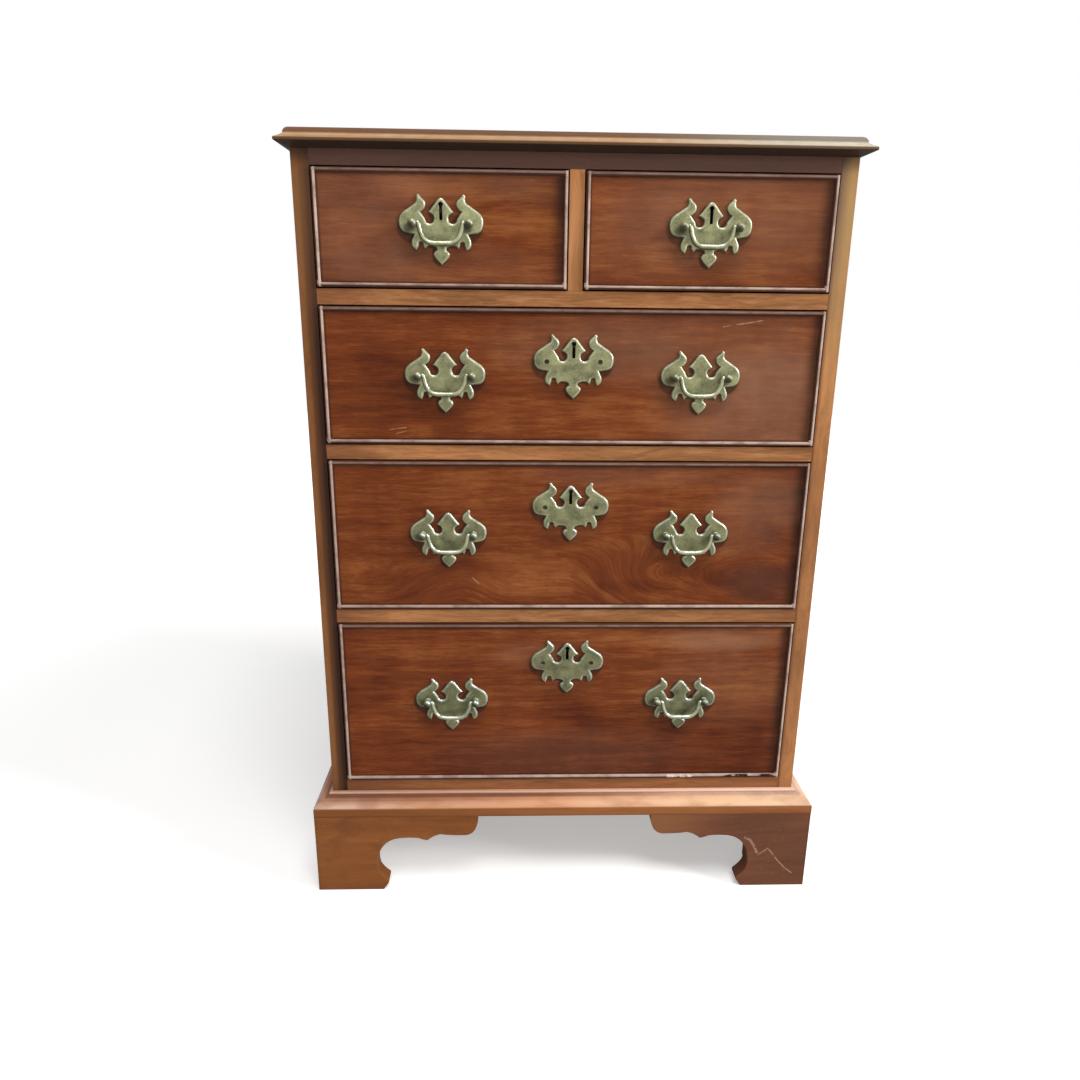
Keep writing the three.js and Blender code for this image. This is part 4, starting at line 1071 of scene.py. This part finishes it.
class CHEST_OT_polish_drawers(bpy.types.Operator):
    """Polishes the drawer fronts, and finishes the boxes, bottoms and locks"""

    bl_idname = "chest.polish_drawers"
    bl_label = "Polish the Drawers"

    def execute(self, context):
        scene = context.scene
        sizes, colours, brasses = scene.chest_mouldings, scene.chest_finishes, scene.chest_brasses
        for seed, name in enumerate(DRAWERS):
            is_long = name in LONG_DRAWERS
            plates = [centre(node)[::2] / MM for node in sorted(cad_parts)
                      if node.startswith(f"{name}_") and node.endswith(("_plate", "_escutcheon"))]
            across, _, up = centre(f"{name}_escutcheon" if is_long else f"{name}_handle_plate") / MM
            old_holes = [(across + hand * brasses.post_spacing / 2 / MM, up + brasses.post_rise / MM)
                         for hand in (-1, 1) if is_long]
            front = polished_front(name, colours, 2.3 + 1.7 * seed, DRAWER_LOOKS[name], plates, (across, up + 14),
                                   old_holes)

            def dress_box(finish, tone, back_mark=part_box(f"{name}_drawer_box")[1].y / MM - 9.5):
                """A darker back board, and smudges all over."""
                finish.coat(shade_of(colours.oak, 0.6), finish.y.rise(back_mark, back_mark + 1) * 0.35)
                smudge = finish.noise("xyz", (90, 90, 60), 3).rise(0.4, 0.8)
                finish.coat(shade_of(colours.grime_and_shade, 4), smudge * 0.3)

            linings = board_wood(f"{name}_box_oak", 31.0 + seed, "yzx", shades(colours.oak, 0.55, 1, 1.4),
                                 roughness=0.62, bands=6, depth=0.1, dress=dress_box)
            bottom = board_wood(f"{name}_bottom_oak", 41.0 + seed, "xyz", shades(colours.oak, 0.5, 0.9, 1.3),
                                roughness=0.65, bands=9, depth=0.1)
            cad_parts[f"{name}_drawer_bottom"].material_slots[0].material = bottom
            lock = filed_iron(f"{name}_lock_iron", colours, seed)
            bolt = filed_iron(f"{name}_bolt_iron", colours, seed + 9)
            for piece, node, body, slot, finish, wear in (
                    ("polished_front", "drawer_front", "drawer", "mahogany", front, 0.5),
                    ("linings", "drawer_box", "drawer", "oak", linings, 0.7),
                    ("lock_box", "lock_case", "drawer", "lock_iron", lock, 0.6),
                    ("bolt", "lock_bolt", "lock_bolt", "lock_iron", bolt, 0.8)):
                merged_copy(f"{name}_{piece}", f"{name}_{node}", f"{name}_{body}", finish, sizes.arris * wear)
        return {"FINISHED"}


class CHEST_OT_hang_brasses(bpy.types.Operator):
    """Makes the pierced plates with their posts and nuts, the bails and the keyhole plates"""

    bl_idname = "chest.hang_brasses"
    bl_label = "Hang the Brasses"

    def execute(self, context):
        sizes, colours = context.scene.chest_brasses, context.scene.chest_finishes
        for seed, name in enumerate(DRAWERS):
            body, is_small = f"{name}_drawer", name in SMALL_DRAWERS
            handles = [f"{name}_handle"] if is_small else [f"{name}_left_handle", f"{name}_right_handle"]
            for turn, handle in enumerate(handles):
                self.make_plate(sizes, colours, f"{handle}_plate", f"{handle}_batwing", body, is_small, True,
                                seed + 0.37 * turn)
                self.make_bail(sizes, colours, handle, seed + 0.4 * turn)
            if not is_small:
                self.make_plate(sizes, colours, f"{name}_escutcheon", f"{name}_keyhole_batwing", body, True, False,
                                seed + 0.71)
        return {"FINISHED"}

    def make_plate(self, sizes, colours, node, name, body, has_keyhole, has_posts, seed):
        """A pierced plate with its two posts, or with the bores for them, and with or without a keyhole."""
        low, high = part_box(node)
        middle, spread, rise = centre(node), sizes.post_spacing / 2, sizes.post_rise
        line = traced(PLATE_PEAK, PLATE_SHARES, 5) * ((high.x - low.x) / 2, (high.z - low.z) / 2)
        outline = np.concatenate([line, line[-2:0:-1] * (-1, 1)])[::-1]
        holes = [self.keyhole()] if has_keyhole else []
        posts, marks = [], []
        for hand in (-1, 1):
            if has_posts:
                posts += self.post_shells(sizes, middle + (hand * spread, 0, rise))
                marks.append(((middle[0] + hand * spread) / MM, (middle[2] + rise) / MM))
            else:
                holes.append(np.column_stack(circle(20)) * 2.3 * MM + (hand * spread, rise))
        walls, flats = self.plate_shells(sizes, outline, holes, middle)
        rims = [share for share, shells in ((1, walls), (0, flats), (0.75, posts)) for shell in shells
                for _ in shell[1]]
        patina = shade_of(colours.brass_patina, 0.42 + 0.62 * (middle[2] / TOP_HIGH.z))
        brass = tarnished(f"{name}_brass", patina, self.rubbed_at(colours, middle[2]), 0.38, 0.6, seed, marks)
        new_piece(name, walls + flats + posts, body, brass, node, rims)

    def rubbed_at(self, colours, height):
        """The rubbed brass and its painted highlight: yellow on the top drawers and silvery towards the lowest."""
        share = height / TOP_HIGH.z
        return [share * warm + (1 - share) * cool for warm, cool in zip(colours.brass_rubbed, TINTS["silvery"])]

    def plate_shells(self, sizes, outline, holes, middle):
        """A pierced plate as its walls and its flat faces. Its edge is the outline carried from back to front
        and rolled in over the bevel, where the inset is the bevel times one less the cosine, and its front and
        back are filled round the holes."""
        thick, bevel = sizes.plate_thickness, sizes.plate_bevel
        turn = np.linspace(0, math.pi / 2, 5)
        insets = [0, *bevel * (1 - np.cos(turn))]
        depths = [0, *thick - 0.8 * bevel + 0.8 * bevel * np.sin(turn)]
        rings = [inset(outline, distance) for distance in insets]
        walls = [gridded(np.stack([stood_up(ring, middle, depth) for ring, depth in zip(rings, depths)]))]
        walls += [gridded(np.stack([stood_up(hole, middle, depth) for depth in (0, thick)])) for hole in holes]
        flats = []
        for ring, depth in ((outline, 0), (rings[-1], thick)):
            loops = [ring, *(hole[::-1] for hole in holes)]
            triangles = tessellate_polygon([[Vector((u, v, 0)) for u, v in loop] for loop in loops])
            flats.append((stood_up(np.concatenate(loops), middle, depth), [list(corners) for corners in triangles]))
        return walls, flats

    def keyhole(self):
        """A keyhole's outline: a straight-sided slot under a round eye."""
        radius, half, drop, rise = 2.2 * MM, 1.5 * MM, 13.4 * MM, 21.6 * MM
        start, shoulder = math.asin(half / radius), rise - 4 * MM
        angle = -start - np.linspace(0, 1, 15) * 2 * (math.pi - start)
        eye = np.column_stack([radius * np.sin(angle), rise - radius * np.cos(angle)])
        foot = eased([(half, shoulder), (half, rise - drop), (-half, rise - drop), (-half, shoulder)], 0.8 * MM, 3)
        return np.concatenate([foot, eye])

    def post_shells(self, sizes, spot):
        """A ball on a turned neck and collar, its shank through the drawer front, and the square nut behind."""
        ball, stand = sizes.ball_radius, sizes.ball_stand
        turn = np.linspace(0, math.pi * 0.82, 14)
        head = np.column_stack([ball * np.sin(turn), -stand - ball * np.cos(turn)])
        collar = np.array([(2, -2.4), (2, -1.5), (3.2, -1.1), (3.4, -0.5), (3.1, 0), (1.9, 0)]) * MM
        shank = np.array([(1.9, 20), (1.9, 24.6), (1.4, 25), (0, 25)]) * MM
        neck = eased([head[-1], *(collar - (0, sizes.plate_thickness)), *shank], 0.4 * MM, 3)
        post = turned(np.concatenate([head, neck[1:]]), spot, sizes.turned_sides)
        square = np.array([(-1, -1), (1, -1), (1, 1), (-1, 1)]) * MM
        rings = [stood_up(square * half, spot, -distance * MM)
                 for distance, half in ((20, 4), (20.3, 4.2), (22.3, 4.2), (22.8, 3.7))]
        return [post, gridded(np.stack(rings), capped=True)]

    def make_bail(self, sizes, colours, handle, seed):
        """A swan-neck bail: from a pin in each ball it turns down in a neck and swells to the grip."""
        spot = centre(f"{handle}_plate") + (0, -sizes.ball_stand, sizes.post_rise)
        spread, drop, half, neck = sizes.post_spacing / 2, sizes.bail_drop, 19.4 * MM, 1.5 * MM
        inside = spread - sizes.ball_radius
        line = traced((spread + 0.8 * MM, 0), (
            (inside, 0), (half + neck, 2 * neck, half, -neck),
            (half - neck / 3, -drop / 4, half - neck * 0.7, -drop * 0.38),
            (half * 0.82, -drop * 0.97, half * 0.36, -drop), (half / 5, -drop), (0, -drop)), 9)
        line = np.concatenate([line, line[-2::-1] * (-1, 1)])
        for _ in range(3):
            line[2:-2] = (line[1:-3] + 2 * line[2:-2] + line[3:-1]) / 4
        away = np.abs(line[:, 0])
        swell = sizes.bail_radius + (sizes.bail_middle - sizes.bail_radius) * np.clip(1 - away / half, 0, 1)
        pin = np.clip((away - inside + 1.2 * MM) / (1.6 * MM), 0, 1)
        shell = rod(stood_up(line, spot), swell + (1.1 * MM - swell) * pin, sizes.turned_sides)
        brass = tarnished(f"{handle}_bail_brass", colours.brass_patina, self.rubbed_at(colours, spot[2]), 0.3,
                          0.75, seed)
        new_piece(f"{handle}_swan_bail", [shell], f"{handle}_bail", brass, f"{handle}_bail",
                  np.ones(len(shell[1])))


class CHEST_OT_light_studio(bpy.types.Operator):
    """Puts the chest on a plain pale floor under soft light, with the camera in front"""

    bl_idname = "chest.light_studio"
    bl_label = "Light the Studio"

    def execute(self, context):
        scene, studio = context.scene, context.scene.chest_studio
        scene.view_settings.view_transform = "Standard"
        self.lay_floor(scene, studio)
        self.set_room(scene, studio)
        self.hang_light(scene, "key_light", (4.35, -1.85, 2.2), 1.1, studio.key_power, (1.0, 0.985, 0.96))
        self.hang_light(scene, "top_light", (0.4, -2.0, 4.8), 2.2, studio.top_power, (1.0, 0.99, 0.98))
        self.hang_light(scene, "fill_light", (-0.5, -2.4, 1.5), 1.8, studio.fill_power, (0.96, 0.98, 1.0))
        self.set_camera(scene)
        return {"FINISHED"}

    def lay_floor(self, scene, studio):
        """A floor that the camera sees a little brighter, so that it is white and still keeps the shadow."""
        size = 4.0
        mesh = bpy.data.meshes.new("studio_floor")
        mesh.from_pydata([(-size, -size, 0), (size, -size, 0), (size, size, 0), (-size, size, 0)], [], [(0, 1, 2, 3)])
        floor = bpy.data.objects.new("studio_floor", mesh)
        scene.collection.objects.link(floor)
        paper = Finish("floor_paper", roughness=0.9, specular=0.1)
        away = paper.math("SQRT", paper.x * paper.x + paper.y * paper.y)
        glow = paper.rays("Camera") * (away.rise(700, 1900) * 0.52 + 0.38)
        for name, value in (("Base Color", (studio.floor_shade,) * 3), ("Emission Color", (1, 1, 1)),
                            ("Emission Strength", glow)):
            paper.feed(paper.shader.inputs[name], value)
        mesh.materials.append(paper.material)
        floor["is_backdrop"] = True

    def set_room(self, scene, studio):
        """An even pale light from all round, seen as white by the camera and in reflections."""
        scene.world = bpy.data.worlds.new("studio_room")
        scene.world.use_nodes = True
        room = Nodes(scene.world.node_tree)
        sky = room.tree.nodes["Background"]
        room.write(sky, {"Color": (1, 1, 1, 1)})
        seen = room.rays("Camera", "Glossy", "Transmission")
        room.feed(sky.inputs["Strength"], seen * (1 - studio.room_light) + studio.room_light)

    def hang_light(self, scene, name, place, size, energy, colour):
        """A square soft light that points at the middle of the chest."""
        light = bpy.data.lights.new(name, "AREA")
        light.shape, light.size, light.energy, light.color = "SQUARE", size, energy, colour
        lamp = bpy.data.objects.new(name, light)
        lamp.location = place
        lamp.rotation_euler = (Vector((0, FACE, 0.4)) - Vector(place)).to_track_quat("-Z", "Y").to_euler()
        scene.collection.objects.link(lamp)

    def set_camera(self, scene):
        """The camera stands a little left of the middle at chest height, tilted down, turned and rolled."""
        place, tilt, turn, roll = (-0.0556, -0.9562, 0.6276), 0.280480836, -0.0326700, 0.0112787
        camera = bpy.data.cameras.new("front_camera")
        camera.sensor_width = 36
        camera.lens = 811 / 1080 * 36
        to_picture = Matrix.Rotation(roll, 3, "Z") @ Matrix.Rotation(tilt, 3, "X") @ Matrix.Rotation(turn, 3, "Y")
        looking = Matrix(((1, 0, 0), (0, 0, -1), (0, 1, 0)))
        to_camera = Matrix.Diagonal((1, -1, -1)) @ to_picture @ looking
        eye = bpy.data.objects.new("front_camera", camera)
        eye.matrix_world = Matrix.Translation(place) @ to_camera.transposed().to_4x4()
        scene.collection.objects.link(eye)
        scene.camera = eye


STEPS = (
    CHEST_OT_mould_top,
    CHEST_OT_mould_base,
    CHEST_OT_fit_carcase,
    CHEST_OT_shape_feet,
    CHEST_OT_polish_drawers,
    CHEST_OT_hang_brasses,
    CHEST_OT_light_studio,
)


class CHEST_PT_dressing(bpy.types.Panel):
    """Lists the steps that dress the chest"""

    bl_idname = "CHEST_PT_dressing"
    bl_label = "Bachelors Chest"
    bl_space_type = "VIEW_3D"
    bl_region_type = "UI"
    bl_category = "Chest"

    def draw(self, context):
        layout = self.layout
        for step in STEPS:
            layout.operator(step.bl_idname)
        for group in GROUPS:
            box = layout.box()
            settings = getattr(context.scene, group)
            for name in settings.bl_rna.properties.keys():
                if name not in ("rna_type", "name"):
                    box.prop(settings, name)


GROUPS = {
    "chest_mouldings": ChestMouldings,
    "chest_brasses": ChestBrasses,
    "chest_finishes": ChestFinishes,
    "chest_studio": ChestStudio,
}


def register():
    """Makes the settings, the steps and the panel known."""
    for kind in (*GROUPS.values(), *STEPS, CHEST_PT_dressing):
        bpy.utils.register_class(kind)
    for name, kind in GROUPS.items():
        setattr(bpy.types.Scene, name, PointerProperty(type=kind))


def unregister():
    """Takes them away again."""
    for name in GROUPS:
        delattr(bpy.types.Scene, name)
    for kind in (CHEST_PT_dressing, *reversed(STEPS), *reversed(GROUPS.values())):
        bpy.utils.unregister_class(kind)


def main():
    """Dresses the chest step by step."""
    def corners():
        return [[round(number, 6) for number in corner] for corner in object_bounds()]

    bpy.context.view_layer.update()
    register()
    bpy.ops.chest.mould_top()
    bpy.ops.chest.mould_base()
    bpy.ops.chest.fit_carcase()
    bpy.ops.chest.shape_feet()
    bpy.ops.chest.polish_drawers()
    bpy.ops.chest.hang_brasses()
    bpy.ops.chest.light_studio()


if __name__ == "__main__":
    main()
